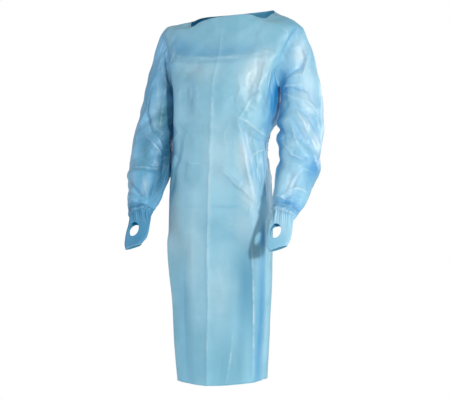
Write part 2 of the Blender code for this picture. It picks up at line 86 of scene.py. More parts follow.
bodyFolds = [Fold(*row) for row in (
    (-48, -0.104, 60, -0.1, 0.014, 0.003),
    (52, -0.095, 50, -0.25, 0.02, 0.006),
    (70, -0.15, 66, -0.29, 0.016, -0.007),
    (34, -0.17, 38, -0.26, 0.017, -0.005),
    (-31, -0.15, -33, -0.29, 0.024, -0.006),
    (-58, -0.12, -54, -0.3, 0.02, 0.005),
    (27, -0.32, 52, -0.545, 0.017, 0.007),
    (14, -0.47, 56, -0.57, 0.015, 0.006),
    (42, -0.345, 66, -0.5, 0.018, -0.007),
    (74, -0.36, 76, -0.54, 0.018, 0.006),
    (-40, -0.35, -58, -0.52, 0.022, -0.005),
    (-18, -0.37, -24, -0.48, 0.018, 0.004),
    (60, -0.74, 62, -1.14, 0.024, 0.007),
    (36, -0.82, 34, -1.14, 0.03, -0.006),
    (-62, -0.7, -60, -1.14, 0.028, 0.006),
    (-34, -0.86, -30, -1.14, 0.03, -0.005),
    (92, -0.64, 96, -1.14, 0.024, -0.008),
    (-94, -0.62, -98, -1.14, 0.026, -0.008),
    (122, -0.44, 128, -1.14, 0.026, 0.009),
    (-120, -0.43, -124, -1.14, 0.026, 0.009),
    (150, -0.44, 152, -1.14, 0.026, -0.008),
    (-148, -0.45, -150, -1.14, 0.026, -0.008),
    (178, -0.46, 182, -1.14, 0.03, 0.006),
    (118, -0.12, 140, -0.33, 0.024, 0.008),
    (-118, -0.12, -138, -0.33, 0.024, 0.008),
    (148, -0.1, 160, -0.33, 0.024, -0.007),
    (-146, -0.1, -158, -0.33, 0.024, -0.007),
)]
Arm = namedtuple("Arm", "out forward height halfWide halfDeep broadWave gather slant")
armRings = [Arm(*row) for row in (
    (0.248, 0.016, -0.262, 0.064, 0.076, 0, 0, 0),
    (0.255, 0.03, -0.32, 0.066, 0.078, 0, 0, 0),
    (0.258, 0.05, -0.385, 0.066, 0.074, 0, 0, 0),
    (0.259, 0.078, -0.45, 0.064, 0.068, 0.0008, 0, 0),
    (0.255, 0.106, -0.51, 0.06, 0.061, 0.0024, 0, 0),
    (0.249, 0.134, -0.56, 0.054, 0.052, 0.0036, 0, 0),
    (0.244, 0.154, -0.592, 0.044, 0.038, 0.0028, 0, 0),
    (0.241, 0.168, -0.612, 0.036, 0.026, 0.0004, 0.0022, 0),
    (0.242, 0.184, -0.638, 0.038, 0.012, 0, 0.0008, 0.05),
    (0.244, 0.198, -0.665, 0.04, 0.008, 0, 0, 0.16),
    (0.245, 0.208, -0.69, 0.038, 0.008, 0, 0, 0.3),
    (0.245, 0.216, -0.71, 0.034, 0.009, 0, 0, 0.36),
)]
armForm = {
    "cuffStart": 6.0,
    "broadWaves": 6,
    "gathers": 9,
    "pullOutAtTop": 0.190,
    "pullOutBelow": 0.036,
    "underarmSlope": -0.25,
    "turnOutAtTop": 0.3,
    "insideArmhole": 0.98,
    "armholeGap": 0.0004,
    "wallHalf": 0.0008,
    "radius": 0.068,
    "rowLength": 0.062,
}
SleeveFold = namedtuple("SleeveFold", "side turn along endTurn endAlong spread rise")
sleeveFolds = [SleeveFold(*row) for row in (
    (1, 120, 0.2, 20, 1, 0.016, -0.008),
    (1, 175, 0.9, 60, 1.5, 0.015, 0.007),
    (1, 170, 1.3, 50, 2.4, 0.015, -0.008),
    (1, 150, 1.9, 10, 3.2, 0.017, 0.007),
    (1, 190, 2.6, 80, 4, 0.016, -0.007),
    (1, 250, 1.2, 320, 2.6, 0.022, -0.007),
    (1, 340, 3, 240, 4.6, 0.02, 0.006),
    (-1, 110, 0.4, 70, 1.5, 0.017, -0.008),
    (-1, 70, 1.4, 60, 2.8, 0.018, 0.007),
    (-1, 60, 2.8, 130, 3.4, 0.016, -0.008),
    (-1, 10, 3.6, 110, 3.9, 0.016, 0.007),
    (-1, 0, 4.2, 90, 5.6, 0.016, -0.007),
    (-1, 250, 1.3, 310, 2.8, 0.022, -0.007),
    (-1, 200, 3.2, 300, 4.5, 0.02, 0.006),
)]


def tableValue(rows, column, at):  # a smooth curve through one column, at fractional rows
    values = np.array([getattr(row, column) for row in rows])
    at = np.clip(at, 0, len(values) - 1)
    low = np.minimum(np.floor(at).astype(int), len(values) - 2)
    part = at - low
    padded = np.concatenate(([2 * values[0] - values[1]], values, [2 * values[-1] - values[-2]]))
    before, first, second, after = (padded[low + step] for step in range(4))
    return (
        first
        + 0.5 * part * (second - before)
        + part**2 * (before - 2.5 * first + 2 * second - 0.5 * after)
        + part**3 * (1.5 * (first - second) + 0.5 * (after - before))
    )


def smoothStep(value, low, high):
    part = np.clip((value - low) / (high - low), 0, 1)
    return part * part * (3 - 2 * part)


def unit(vectors):
    return vectors / np.linalg.norm(vectors, axis=-1, keepdims=True)


def wrapped(angle):
    return (angle + math.pi) % (2 * math.pi) - math.pi


def foldRise(across, up, endAcross, endUp, spread, rise):
    share = (across * endAcross + up * endUp) / (endAcross**2 + endUp**2)
    share = np.clip(share, 0, 1)
    distance = np.hypot(across - share * endAcross, up - share * endUp)
    return rise * np.exp(-((distance / spread) ** 2))


def levelAt(height):
    levels = np.linspace(0, bodyForm["neckLevel"], 400)
    return np.interp(height, tableValue(bodyRings, "height", levels), levels)


def bodySurface(angle, level):  # the film at an angle from the front centre and a level
    form = bodyForm
    ring = {name: tableValue(bodyRings, name, level) for name in Ring._fields}
    side, ahead = np.sin(angle), np.cos(angle)
    inFront = ahead > 0
    folds = np.zeros_like(angle * level)
    for fold in bodyFolds:
        across = wrapped(angle - math.radians(fold.angle)) * form["foldRadius"]
        endAcross = math.radians(fold.endAngle - fold.angle) * form["foldRadius"]
        up = ring["height"] - fold.height
        endUp = fold.endHeight - fold.height
        folds = folds + foldRise(across, up, endAcross, endUp, fold.spread, fold.rise)
    fromRidge = np.abs(wrapped(angle)) * ring["halfWidth"]
    ridge = ring["ridge"] * np.exp(-fromRidge / form["ridgeSpread"])
    x = ring["halfWidth"] * side * (1 + form["squareness"] * ahead**2) + folds * side
    depth = np.where(inFront, ring["front"], ring["back"])
    y = -depth * ahead * (1 + form["squareness"] * side**2) - folds * ahead - ridge
    backSpread = form["backRiseSpread"]
    backShare = ahead**2 * (1 + backSpread) / (ahead**2 + backSpread)
    rise = np.where(inFront, ring["frontRise"] * ahead**2, ring["backRise"] * backShare)
    dip = np.where(inFront, ring["dip"], 0) * side**6 * ahead**2 / form["lowestDip"]
    sag = form["neckSag"] * np.exp(-(((angle - form["sagAngle"]) / form["sagSpread"]) ** 2))
    dip = dip + np.where(inFront, sag, 0) * smoothStep(level, form["sagFrom"], form["neckLevel"])
    z = ring["height"] + rise + ring["tilt"] * x - dip
    return np.stack([x + ring["sway"], y + ring["middleY"], z], axis=-1)


normalStep = 1e-4


def surfaceNormals(surface, across, along):
    step = normalStep
    side = surface(across + step, along) - surface(across - step, along)
    up = surface(across, along + step) - surface(across, along - step)
    return unit(np.cross(side, up))


def armholeEdge(turn, shrink=1.0):  # angle and level of the edge, at a turn from its top
    form = bodyForm
    middle = (form["shoulderLevel"] + form["underarmLevel"]) / 2
    half = (form["shoulderLevel"] - form["underarmLevel"]) / 2
    bite = np.where(np.sin(turn) > 0, form["armholeFront"], form["armholeBack"])
    return math.pi / 2 - shrink * bite * np.sin(turn), middle + shrink * half * np.cos(turn)


wristForm = {
    "row": 6.3,
    "spread": 1.5,
    "shiftOut": {1: 0.004, -1: 0.011},  # the bunched film pushes the wrists out of line
    "narrower": {1: 0.10, -1: 0.09},
    "roundFrom": 9.6,
    "roundInner": {1: 0.20, -1: 0.34},  # how far the corners of the cuffs' ends are rounded
    "roundOuter": {1: 0.12, -1: 0.10},
}


def nearWrist(row):
    return np.exp(-(((row - wristForm["row"]) / wristForm["spread"]) ** 2))


def armPath(side, along):
    def centre(at):
        out, ahead, height = (tableValue(armRings, name, at) for name in Arm._fields[:3])
        out = out + wristForm["shiftOut"][side] * nearWrist(at)
        return np.stack([side * out, -ahead, height], axis=-1)

    step = 1e-3
    down = unit(centre(along + step) - centre(along - step))
    outward = np.zeros_like(down)
    outward[..., 0] = side
    outward = unit(outward - down * np.sum(outward * down, axis=-1, keepdims=True))
    forward = np.cross(down, outward) * side
    return centre(along), outward, forward, down


def armSurface(side):  # the film round the arm, by turn from its outer side and by row
    form = armForm

    def surface(turn, along):
        centre, outward, forward, down = armPath(side, along)
        ring = {name: tableValue(armRings, name, along) for name in Arm._fields[3:]}
        rise = ring["broadWave"] * np.cos(form["broadWaves"] * turn + side)
        rise = rise + ring["gather"] * np.cos(form["gathers"] * turn)
        for fold in sleeveFolds:
            if fold.side == side:
                across = wrapped(turn - math.radians(fold.turn)) * form["radius"]
                endAcross = math.radians(fold.endTurn - fold.turn) * form["radius"]
                run = (along - fold.along) * form["rowLength"]
                endRun = (fold.endAlong - fold.along) * form["rowLength"]
                rise = rise + foldRise(across, run, endAcross, endRun, fold.spread, fold.rise)
        ending = smoothStep(along, wristForm["roundFrom"], len(armRings) - 1) ** 2
        inner, outer = wristForm["roundInner"][side], wristForm["roundOuter"][side]
        rounded = 1 - ending * np.where(np.cos(turn) < 0, inner, outer)
        narrower = 1 - wristForm["narrower"][side] * nearWrist(along)
        wide = (ring["halfWide"] * narrower + rise) * np.cos(turn) * rounded
        deep = (ring["halfDeep"] + rise) * np.sin(turn)
        drop = -ring["slant"] * wide * side
        return (
            centre + outward * wide[..., None] + forward * deep[..., None] + down * drop[..., None]
        )

    return surface


def sleeveSurface(side):  # 0 to 1 is the sleeve's cap, and the arm's rows come after it
    arm = armSurface(side)
    form = armForm

    def surface(turn, along):
        angle, level = armholeEdge(turn)
        innerAngle, innerLevel = armholeEdge(turn, form["insideArmhole"])
        edge = bodySurface(side * angle, level)
        onward = unit(bodySurface(side * innerAngle, innerLevel) - edge)
        under = (1 - np.cos(turn)) / 2
        turnOut = (form["turnOutAtTop"] + (1 - form["turnOutAtTop"]) * under)[..., None]
        out = np.array([side, 0, form["underarmSlope"]])
        leave = unit(onward * (1 - turnOut) + out * turnOut)
        cosine = np.clip(np.sum(onward * leave, axis=-1, keepdims=True), 0, 1)
        bend = np.sqrt(1 - cosine**2)
        start = edge + onward * (form["armholeGap"] + bend * form["wallHalf"])
        outShift = bend * (form["wallHalf"] + bodyForm["seamGap"]) * under[..., None] ** 2
        start = start + np.array([side, 0, 0]) * outShift
        top = np.zeros_like(along)
        end = arm(turn, top)
        down = armPath(side, top)[3]
        below = form["pullOutBelow"]
        pull = (below + (form["pullOutAtTop"] - below) * (1 + np.cos(turn)) / 2)[..., None]
        part = np.clip(along, -2 * normalStep, 1)[..., None]
        cap = (
            start * (2 * part**3 - 3 * part**2 + 1)
            + leave * pull * (part**3 - 2 * part**2 + part)
            + end * (3 * part**2 - 2 * part**3)
            + down * pull * (part**3 - part**2)
        )
        return np.where((along <= 1)[..., None], cap, arm(turn, np.maximum(along - 1, 0)))

    return surface


# Creases pressed and pulled into the film. Each follows its route, given as angle and height in
# millimetres on the body, or as turn and row on a sleeve. Width and rise are in millimetres, a
# rise below zero is a trough, and the lean makes one flank steeper than the other.
Crease = namedtuple("Crease", "route width rise lean")
frontCreases = [Crease(*row) for row in (
    (((0, 14), (0, -300), (0, -700), (0, -1140)), 4, 2.4, 0.1),
    (((-44, -96), (-16, -80), (5, -77), (27, -94), (58, -112)), 7, 1.5, 0.5),
    (((-30, -108), (-4, -94), (20, -104)), 9, -1.2, 0.2),
    (((34, -60), (44, -78), (56, -100)), 5, 3, -0.4),
    (((42, -88), (49, -179), (46, -250)), 8, 3.2, 0.4),
    (((37, -110), (41, -170), (38, -230)), 8, -2.4, 0.2),
    (((26, -191), (42, -233), (52, -211)), 6, -2.8, 0.3),
    (((22, -170), (27, -210), (24, -255)), 7, 1.8, -0.2),
    (((30, -200), (38, -222), (50, -262)), 5, 2.2, 0.3),
    (((44, -225), (34, -274), (26, -314)), 5, 2.6, 0.2),
    (((26, -314), (36, -358), (42, -466), (48, -546)), 6, 3.6, 0.4),
    (((32, -330), (47, -400), (53, -520)), 7, -2.8, 0.1),
    (((61, -398), (64, -482), (58, -564)), 7, 2.8, -0.3),
    (((12, -462), (27, -510), (40, -540), (51, -568)), 5, 3.2, 0.4),
    (((20, -470), (33, -505), (46, -530)), 5, 2.2, -0.3),
    (((30, -548), (40, -566), (46, -584)), 4, 1.8, 0.2),
    (((46, -120), (52, -150), (55, -190)), 5, 2.2, 0.2),
    (((33, -140), (30, -175), (33, -205)), 4, 2, 0.3),
    (((36, -178), (42, -200), (40, -222)), 4, 2.2, -0.3),
    (((46, -195), (52, -235), (60, -262)), 4, 2, 0.3),
    (((28, -235), (36, -262), (50, -285)), 4, 1.8, 0.3),
    (((20, -300), (14, -350), (16, -400)), 7, 1.4, 0.2),
    (((50, -420), (56, -460), (54, -520)), 4, 2, 0.3),
    (((-2, -330), (-14, -338), (-26, -330)), 5, 1.2, 0.3),
    (((-4, -440), (-18, -446), (-34, -436)), 5, 1.1, -0.3),
    (((4, -380), (16, -386), (26, -376)), 5, 1.1, 0.3),
    (((-10, -660), (-24, -668), (-40, -660)), 6, 1, 0.2),
    (((-6, -790), (-20, -796), (-38, -786)), 6, 1, 0.2),
    (((44, -560), (48, -584), (44, -610)), 5, 2.6, 0.2),
    (((-26, -157), (-22, -219), (-26, -275)), 9, -1.6, 0.4),
    (((-17, -180), (-15, -240), (-18, -300)), 9, 1.4, 0),
    (((0, -582), (20, -585), (40, -578)), 4, -1.8, 0.3),
    (((3, -925), (13, -928), (22, -927)), 4, -1.4, 0.2),
    (((63, -151), (76, -246), (82, -323)), 12, -3, 0.3),
    (((56, -130), (62, -200), (66, -300)), 7, 2.2, 0.1),
    (((108, -160), (113, -235), (112, -335)), 20, 13, 0),
    (((88, -372), (52, -335), (34, -311), (24, -300)), 5, 2.8, 0.3),
    (((86, -384), (60, -372), (40, -352)), 6, -2.4, 0),
    (((84, -400), (62, -410), (48, -432)), 6, 2.2, -0.3),
    (((-86, -385), (-62, -370), (-44, -345)), 7, 2, 0.3),
    (((-84, -400), (-58, -412), (-40, -440)), 8, -1.8, 0),
    (((-70, -300), (-50, -330), (-36, -372)), 7, 1.6, 0.2),
    (((53, 8), (64, -30), (70, -68)), 6, 1.8, 0.2),
    (((-44, -20), (-47, -95)), 8, -1.8, 0),
    (((-46, -66), (-54, -100), (-60, -135)), 5, 2.4, -0.3),
    (((-20, -6), (-12, -34), (6, -50)), 10, -1.2, 0),
    (((18, -663), (30, -690), (40, -720)), 12, -1.6, 0),
    (((10, -630), (26, -640), (44, -628)), 7, 1.2, 0.3),
    (((6, -757), (12, -820), (15, -878)), 12, 1.3, 0),
    (((50, -690), (54, -876), (60, -1120)), 8, 2.8, 0.4),
    (((-27, -738), (-34, -882), (-34, -1120)), 14, -1.8, 0),
    (((-16, -500), (-19, -700), (-18, -900)), 12, 1.4, 0.2),
    (((-56, -560), (-60, -720), (-56, -900)), 12, 1.8, 0.3),
    (((-30, -584), (-14, -586), (-4, -582)), 5, -0.9, 0.2),
    (((-24, -926), (-12, -924), (-3, -926)), 5, -0.8, 0.1),
    (((28, -980), (26, -1060), (22, -1130)), 12, 1.5, 0.3),
)]
backCreases = [Crease(*row) for row in (
    (((180, 30), (180, -300), (181, -700), (182, -1140)), 4, 1.6, 0.1),
    (((-118, -98), (-150, -82), (178, -80), (150, -88), (120, -102)), 7, 1.8, 0.4),
    (((104, -350), (128, -372), (156, -386)), 6, 3, 0.3),
    (((108, -300), (134, -345), (160, -378)), 7, -2.6, 0),
    (((112, -240), (136, -310), (158, -366)), 6, 2.4, 0.3),
    (((102, -440), (130, -412), (158, -396)), 6, -2.6, 0.1),
    (((108, -520), (136, -450), (160, -404)), 7, 2.8, -0.3),
    (((136, -620), (150, -500), (166, -410)), 8, -2.6, 0),
    (((-104, -358), (-130, -372), (-158, -386)), 6, 2.6, 0.3),
    (((-106, -310), (-134, -350), (-162, -378)), 7, -2.4, 0.1),
    (((-116, -230), (-140, -300), (-160, -366)), 6, 2.6, -0.2),
    (((-104, -452), (-132, -416), (-160, -396)), 6, -2.8, 0),
    (((-112, -540), (-140, -460), (-162, -404)), 7, 2.6, 0.3),
    (((-140, -640), (-154, -510), (-170, -410)), 8, -2.4, 0),
    (((118, -50), (130, -110), (138, -190)), 7, 2.4, 0.2),
    (((-120, -46), (-134, -120), (-136, -200)), 7, 2.2, -0.2),
    (((128, -640), (131, -860), (126, -1120)), 9, 2, 0.3),
    (((-126, -600), (-132, -840), (-130, -1110)), 9, 2.2, -0.3),
    (((158, -560), (164, -800), (160, -1060)), 10, -1.8, 0),
    (((-160, -580), (-166, -780), (-162, -1080)), 10, -1.6, 0.2),
    (((140, -582), (158, -585), (176, -582)), 4, -1.5, 0.2),
    (((-142, -926), (-160, -924), (-176, -927)), 4, -1.3, 0.2),
)]
leftSleeveCreases = [Crease(*row) for row in (
    (((46, 0.14), (42, 0.4), (64, 0.52), (108, 0.47)), 6, -4.2, 0.3),
    (((52, 0.1), (33, 0.44), (60, 0.62), (112, 0.53)), 6, 3.2, 0.3),
    (((68, 0.16), (50, 0.22), (38, 0.25)), 5, 2.2, 0),
    (((124, 0.57), (92, 0.72), (60, 0.76)), 5, 3.2, 0.3),
    (((126, 0.6), (84, 0.8), (48, 0.88), (12, 1.77)), 6, -4.2, 0.2),
    (((134, 0.7), (96, 0.95), (60, 1.2), (20, 1.5)), 6, 2.4, 0),
    (((72, 0.91), (48, 1.34), (16, 1.84)), 6, 5.4, 0.5),
    (((88, 1.3), (62, 1.9), (24, 2.5)), 7, -2.4, 0),
    (((84, 1.7), (52, 2.85), (2, 3.9)), 7, 5.6, 0.5),
    (((66, 1.7), (34, 2.5), (2, 3.2)), 9, -3.4, 0.3),
    (((60, 0.7), (50, 1), (40, 1.1)), 4, 2.4, 0.2),
    (((96, 2.4), (88, 3.1), (70, 3.7)), 6, 3.2, 0.3),
    (((98, 1.9), (74, 2.8), (40, 3.5)), 8, -2.2, 0),
    (((138, 1.32), (130, 2.51), (106, 3.73)), 7, -3.2, 0.2),
    (((140, 1.1), (128, 2.2), (118, 3.1)), 6, 2.4, 0),
    (((123, 3.37), (90, 3.98), (60, 4.12)), 6, 3.2, 0.3),
    (((112, 3.95), (57, 4.19), (6, 3.91)), 8, -2.8, 0),
    (((92, 4.3), (50, 4.55), (10, 4.5)), 7, 2, 0.3),
    (((66, 4.9), (72, 5.5), (75, 6.1)), 5, 2.8, 0.3),
    (((55, 4.8), (63, 5.5), (60, 6.3)), 6, -2.2, 0),
    (((108, 6.6), (80, 6.1), (54, 5.7), (-2, 5.51)), 6, 3.2, 0.3),
    (((100, 6.75), (60, 6.2), (10, 6)), 6, -2.6, 0),
    (((27, 4.24), (18, 4.9), (15, 5.44)), 7, -2.6, 0.2),
    (((158, 1.05), (160, 1.8), (158, 2.3), (157, 3)), 17, 9, 0),
    (((200, 0.6), (250, 1), (300, 1.5)), 7, 3, 0.3),
    (((190, 1.2), (236, 1.9), (310, 2.5)), 7, -3, 0.1),
    (((184, 2.1), (240, 2.6), (318, 2.8)), 6, 3.2, 0.4),
    (((196, 3), (250, 3.6), (330, 3.5)), 7, -3, 0),
    (((180, 4.2), (230, 4.6), (300, 4.4)), 6, 2.6, -0.3),
    (((222, 4.9), (246, 5.5), (250, 6.2)), 7, 2.8, 0.2),
    (((190, 6.3), (250, 6), (320, 6.3)), 6, -2.8, 0),
)]
rightSleeveCreases = [Crease(*row) for row in (
    (((24, 2.6), (26, 3.5), (24, 4.2)), 17, 3.6, 0),
    (((22, 4.35), (26, 4.55), (22, 4.75)), 9, -2.4, 0),
    (((24, 4.9), (26, 5.6), (24, 6.4)), 15, 4, 0),
    (((68, 0.16), (108, 0.2), (146, 0.22)), 5, -3.2, 0.3),
    (((62, 0.24), (100, 0.32), (140, 0.34)), 5, 2.4, 0),
    (((74, 0.69), (81, 1.6), (108, 2.59), (134, 2.71)), 6, -4.6, 0.3),
    (((84, 0.75), (92, 1.6), (116, 2.42), (138, 2.55)), 7, 1.4, -0.2),
    (((96, 2.94), (120, 3.35), (147, 3.66)), 5, 3.2, 0.3),
    (((90, 3.1), (112, 3.5), (134, 3.84)), 6, -2.2, 0),
    (((114, 2.78), (130, 3.02), (147, 3.4)), 5, 2.8, 0.2),
    (((63, 4.44), (84, 4.55), (105, 4.58), (144, 4.43)), 4, 3.2, 0.4),
    (((60, 4.55), (90, 4.68), (134, 4.58)), 5, -2.4, 0),
    (((102, 5.01), (112, 5.6), (126, 6.22)), 8, 3.4, 0.2),
    (((142, 4.67), (146, 5.6), (147, 6.4)), 9, -4.2, 0.1),
    (((40, 5.03), (62, 5.5), (87, 5.91), (124, 6.55)), 5, -3.6, 0.3),
    (((34, 5.3), (58, 5.8), (84, 6.2)), 6, 2.6, 0.2),
    (((75, 0.31), (101, 0.69), (114, 1.63)), 9, 2.2, 0.2),
    (((60, 0.5), (64, 1.2), (62, 2.2)), 10, -2.2, 0),
    (((122, 0.84), (126, 1.5), (128, 2.2)), 7, 2, 0.3),
    (((153, 3.4), (160, 4.2), (171, 5.24)), 9, -2.8, 0),
    (((48, 2.6), (52, 3.4), (50, 4.2)), 10, 2, 0.2),
    (((205, 0.7), (246, 1.2), (296, 1.4)), 7, 3, 0.2),
    (((188, 1.3), (240, 1.8), (304, 2.6)), 7, -3.2, 0),
    (((192, 2), (252, 2.9), (322, 3)), 6, 3, 0.4),
    (((186, 3.1), (244, 3.4), (312, 3.9)), 7, -2.6, 0.1),
    (((200, 4.3), (262, 4.5), (330, 4.3)), 6, 2.8, -0.2),
    (((230, 5), (238, 5.7), (262, 6.2)), 7, 2.6, 0.2),
    (((184, 6.2), (240, 6.1), (310, 6.4)), 6, -2.8, 0),
)]
wristCreases = [Crease(*row) for row in (  # the film that bunches above both cuffs
    (((200, 7.45), (160, 7.5), (104, 7.7), (52, 7.8), (-10, 7.5)), 5, 5.2, 0.3),
    (((150, 7.02), (98, 7.3), (46, 7.42), (0, 7.02)), 3.5, -2.6, 0),
    (((166, 6.8), (110, 7.1), (60, 7.14), (14, 6.7)), 4, 2.9, 0.2),
    (((128, 7.98), (78, 8.06), (30, 8.02)), 3.5, -2.2, 0),
    (((140, 6.5), (92, 6.84), (44, 6.88), (20, 6.5)), 4, -2.1, 0),
    (((132, 6.2), (84, 6.58), (40, 6.62)), 4.5, 2.1, 0.3),
    (((84, 7.9), (70, 7.45), (40, 7.2)), 3.5, 2, 0.2),
    (((194, 7.35), (250, 7.72), (330, 7.45)), 4.5, 3.6, 0.2),
    (((190, 7.05), (256, 7.36), (320, 7.16)), 3.5, -2.4, 0),
    (((196, 6.75), (262, 7.02), (326, 6.8)), 4, 2.6, 0.2),
    (((206, 7.96), (270, 8.06), (330, 8)), 3.5, -2.1, 0),
)]
creaseForm = {
    "crestRadius": 0.0006,
    "crestLine": 0.0016,  # half the width of the white and painted highlight line along a crest
    "lineSpread": 0.08,  # and the share of the crease's width that widens it
    "reach": 5,  # widths away at which a crease is over
    "steps": 8,  # for each point of a route
    "tip": 0.04,  # a crease fades from its middle to its tips
    "taper": 0.6,
}
paint = {  # how strongly the creases are painted, as painted shade in troughs and pleat hollows and as white with painted highlight along crests, and the rises in millimetres that are full
    "crestRise": 3,
    "troughRise": 4,
    "trough": 0.55,
    "crestWhiteAndHighlight": 0.75,
    "crumple": 0.4,
    "bodyFacet": 0.12,
    "sleeveFacet": 0.15,
    "pleat": 0.35,
}
uneven = {
    "waves": (((160, 70, 110), 0.3), ((-90, 190, 140), 1.1), ((60, -50, 75), 2.0)),
    "middle": 0.68,
    "crossed": 0.42,
    "single": 0.32,
    "least": 0.22,
}


def segmentDistance(points, first, second):
    run = second - first
    share = np.clip((points - first) @ run / max(run @ run, 1e-12), 0, 1)
    gap = points - (first + share[:, None] * run)
    return np.linalg.norm(gap, axis=1), share, gap


def unevenness(points):  # the white and painted highlight of a crease come and go along it
    first, second, third = (np.sin(points @ np.array(way) + at) for way, at in uneven["waves"])
    whiteAndHighlight = uneven["middle"] + uneven["crossed"] * first * second + uneven["single"] * third
    return np.clip(whiteAndHighlight, uneven["least"], 1)


def nearestOnLine(points, normals, line):  # how far, on which side, and how far along
    best = np.full(len(points), np.inf)
    lean, share = np.zeros(len(points)), np.zeros(len(points))
    for step in range(len(line) - 1):
        distance, part, gap = segmentDistance(points, line[step], line[step + 1])
        closer = distance < best
        side = np.sum(np.cross(normals, line[step + 1] - line[step]) * gap, axis=1)
        best = np.where(closer, distance, best)
        lean = np.where(closer, np.sign(side), lean)
        share = np.where(closer, (step + part) / (len(line) - 1), share)
    return best, lean, share


# Height of the creases at each point, and how sharply the film is bent there, up or down, as the
# strength of the white and painted highlight along crests and of the painted shade in troughs.
def creaseField(points, normals, creases, place, gain=1):
    height, crestWhiteAndHighlight, trough = (np.zeros(len(points)) for _ in range(3))
    form = creaseForm
    for crease in creases:
        route = np.array(crease.route, float)
        at = np.linspace(0, len(route) - 1, form["steps"] * len(route))
        line = place(*(np.interp(at, np.arange(len(route)), column) for column in route.T))
        width = crease.width / 1000
        reach = form["reach"] * width
        inBox = np.all((points > line.min(0) - reach) & (points < line.max(0) + reach), axis=1)
        near = np.nonzero(inBox)[0]
        if len(near) == 0:
            continue
        away, lean, share = nearestOnLine(points[near], normals[near], line)
        soft = np.sqrt(away**2 + form["crestRadius"] ** 2) - form["crestRadius"]
        share = np.clip(share, form["tip"], 1 - form["tip"])
        taper = np.sin(np.pi * share) ** form["taper"]
        rise = taper * np.exp(-soft / (width * (1 + lean * crease.lean)))
        height[near] += gain * crease.rise / 1000 * rise
        if crease.rise > 0:
            line = np.exp(-((away / (form["crestLine"] + form["lineSpread"] * width)) ** 2))
            sharp = taper * line * crease.rise / paint["crestRise"] * unevenness(points[near])
            crestWhiteAndHighlight[near] = np.maximum(crestWhiteAndHighlight[near], sharp)
        else:
            trough[near] = np.maximum(trough[near], rise * -crease.rise / paint["troughRise"])
    return height, crestWhiteAndHighlight, trough


# Small random creases, laid along and across the grid, as thin film crumples between the folds.
# Rows and columns are shares of the grid, length and cell are in metres, and rise in millimetres.
Crumple = namedtuple("Crumple", "seed count rows columns length cell direction scatter rise")
crumpleForm = {"bow": 0.12, "leastRise": 0.5, "widths": (2.4, 5.5), "leans": (-0.5, 0.5)}


def crumpleCreases(shape, settings):
    random = np.random.default_rng(settings.seed)
    rows, columns = shape
    found = []
    for _ in range(settings.count):
        row = random.uniform(*settings.rows) * (rows - 1)
        column = random.uniform(*settings.columns) * (columns - 1)
        length = random.uniform(*settings.length) / settings.cell
        lean = random.normal(settings.direction, settings.scatter)
        down, across = length * math.cos(lean), length * math.sin(lean)
        bow = random.normal(0, crumpleForm["bow"]) * length
        route = (
            (column - across / 2, row - down / 2),
            (column + bow * math.cos(lean), row - bow * math.sin(lean)),
            (column + across / 2, row + down / 2),
        )
        rise = random.uniform(crumpleForm["leastRise"], 1) * settings.rise
        rise = rise * random.choice((-1, 1))
        width = random.uniform(*crumpleForm["widths"])
        found.append(Crease(route, width, rise, random.uniform(*crumpleForm["leans"])))
    return found


# Broad flat facets with crisp edges between them, as stiff thin film buckles. Each wave is a
# row of straight ridges, bent a little by a slow wave, and many directions cross each other.
# Their edges carry white with painted highlight, as crests do.
Facets = namedtuple("Facets", "seed count lengths bias slope softness")
facetForm = {
    "bend": 0.16,
    "bendLength": 2.3,  # in lengths of the facet
    "patchSize": 0.31,
    "fullSlope": 0.10,
}


def wave(turns):
    return np.sin(2 * math.pi * turns)


def facetField(points, settings):
    random = np.random.default_rng(settings.seed)
    height = np.zeros(len(points))
    crestWhiteAndHighlight = np.zeros(len(points))
    for _ in range(settings.count):
        direction = unit(random.normal(size=3) * settings.bias)
        bend = unit(random.normal(size=3))
        length = random.uniform(*settings.lengths)
        shift = random.uniform(0, 1, 3)
        slow = wave(points @ bend / (facetForm["bendLength"] * length) + shift[0])
        phase = points @ direction / length + facetForm["bend"] * slow + shift[1]
        patch = 0.5 + 0.5 * wave(points @ bend[::-1] / facetForm["patchSize"] + shift[2])
        away = np.abs(phase % 1 - 0.5)
        soft = np.sqrt(away**2 + settings.softness**2)
        height += settings.slope * length * patch * (0.25 - soft)  # 0.25 is the mean of away
        line = np.exp(-((away * length / creaseForm["crestLine"]) ** 2))
        crestWhiteAndHighlight = np.maximum(crestWhiteAndHighlight, line * patch * settings.slope / facetForm["fullSlope"])
    return height, crestWhiteAndHighlight


def gridPlace(points):  # turns grid columns and rows into places on the film
    rows, columns = points.shape[:2]

    def place(column, row):
        column = np.clip(column, 0, columns - 1.001)
        row = np.clip(row, 0, rows - 1.001)
        c, r = column.astype(int), row.astype(int)
        u, v = (column - c)[:, None], (row - r)[:, None]
        top = points[r, c] * (1 - u) + points[r, c + 1] * u
        low = points[r + 1, c] * (1 - u) + points[r + 1, c + 1] * u
        return top * (1 - v) + low * v

    return place
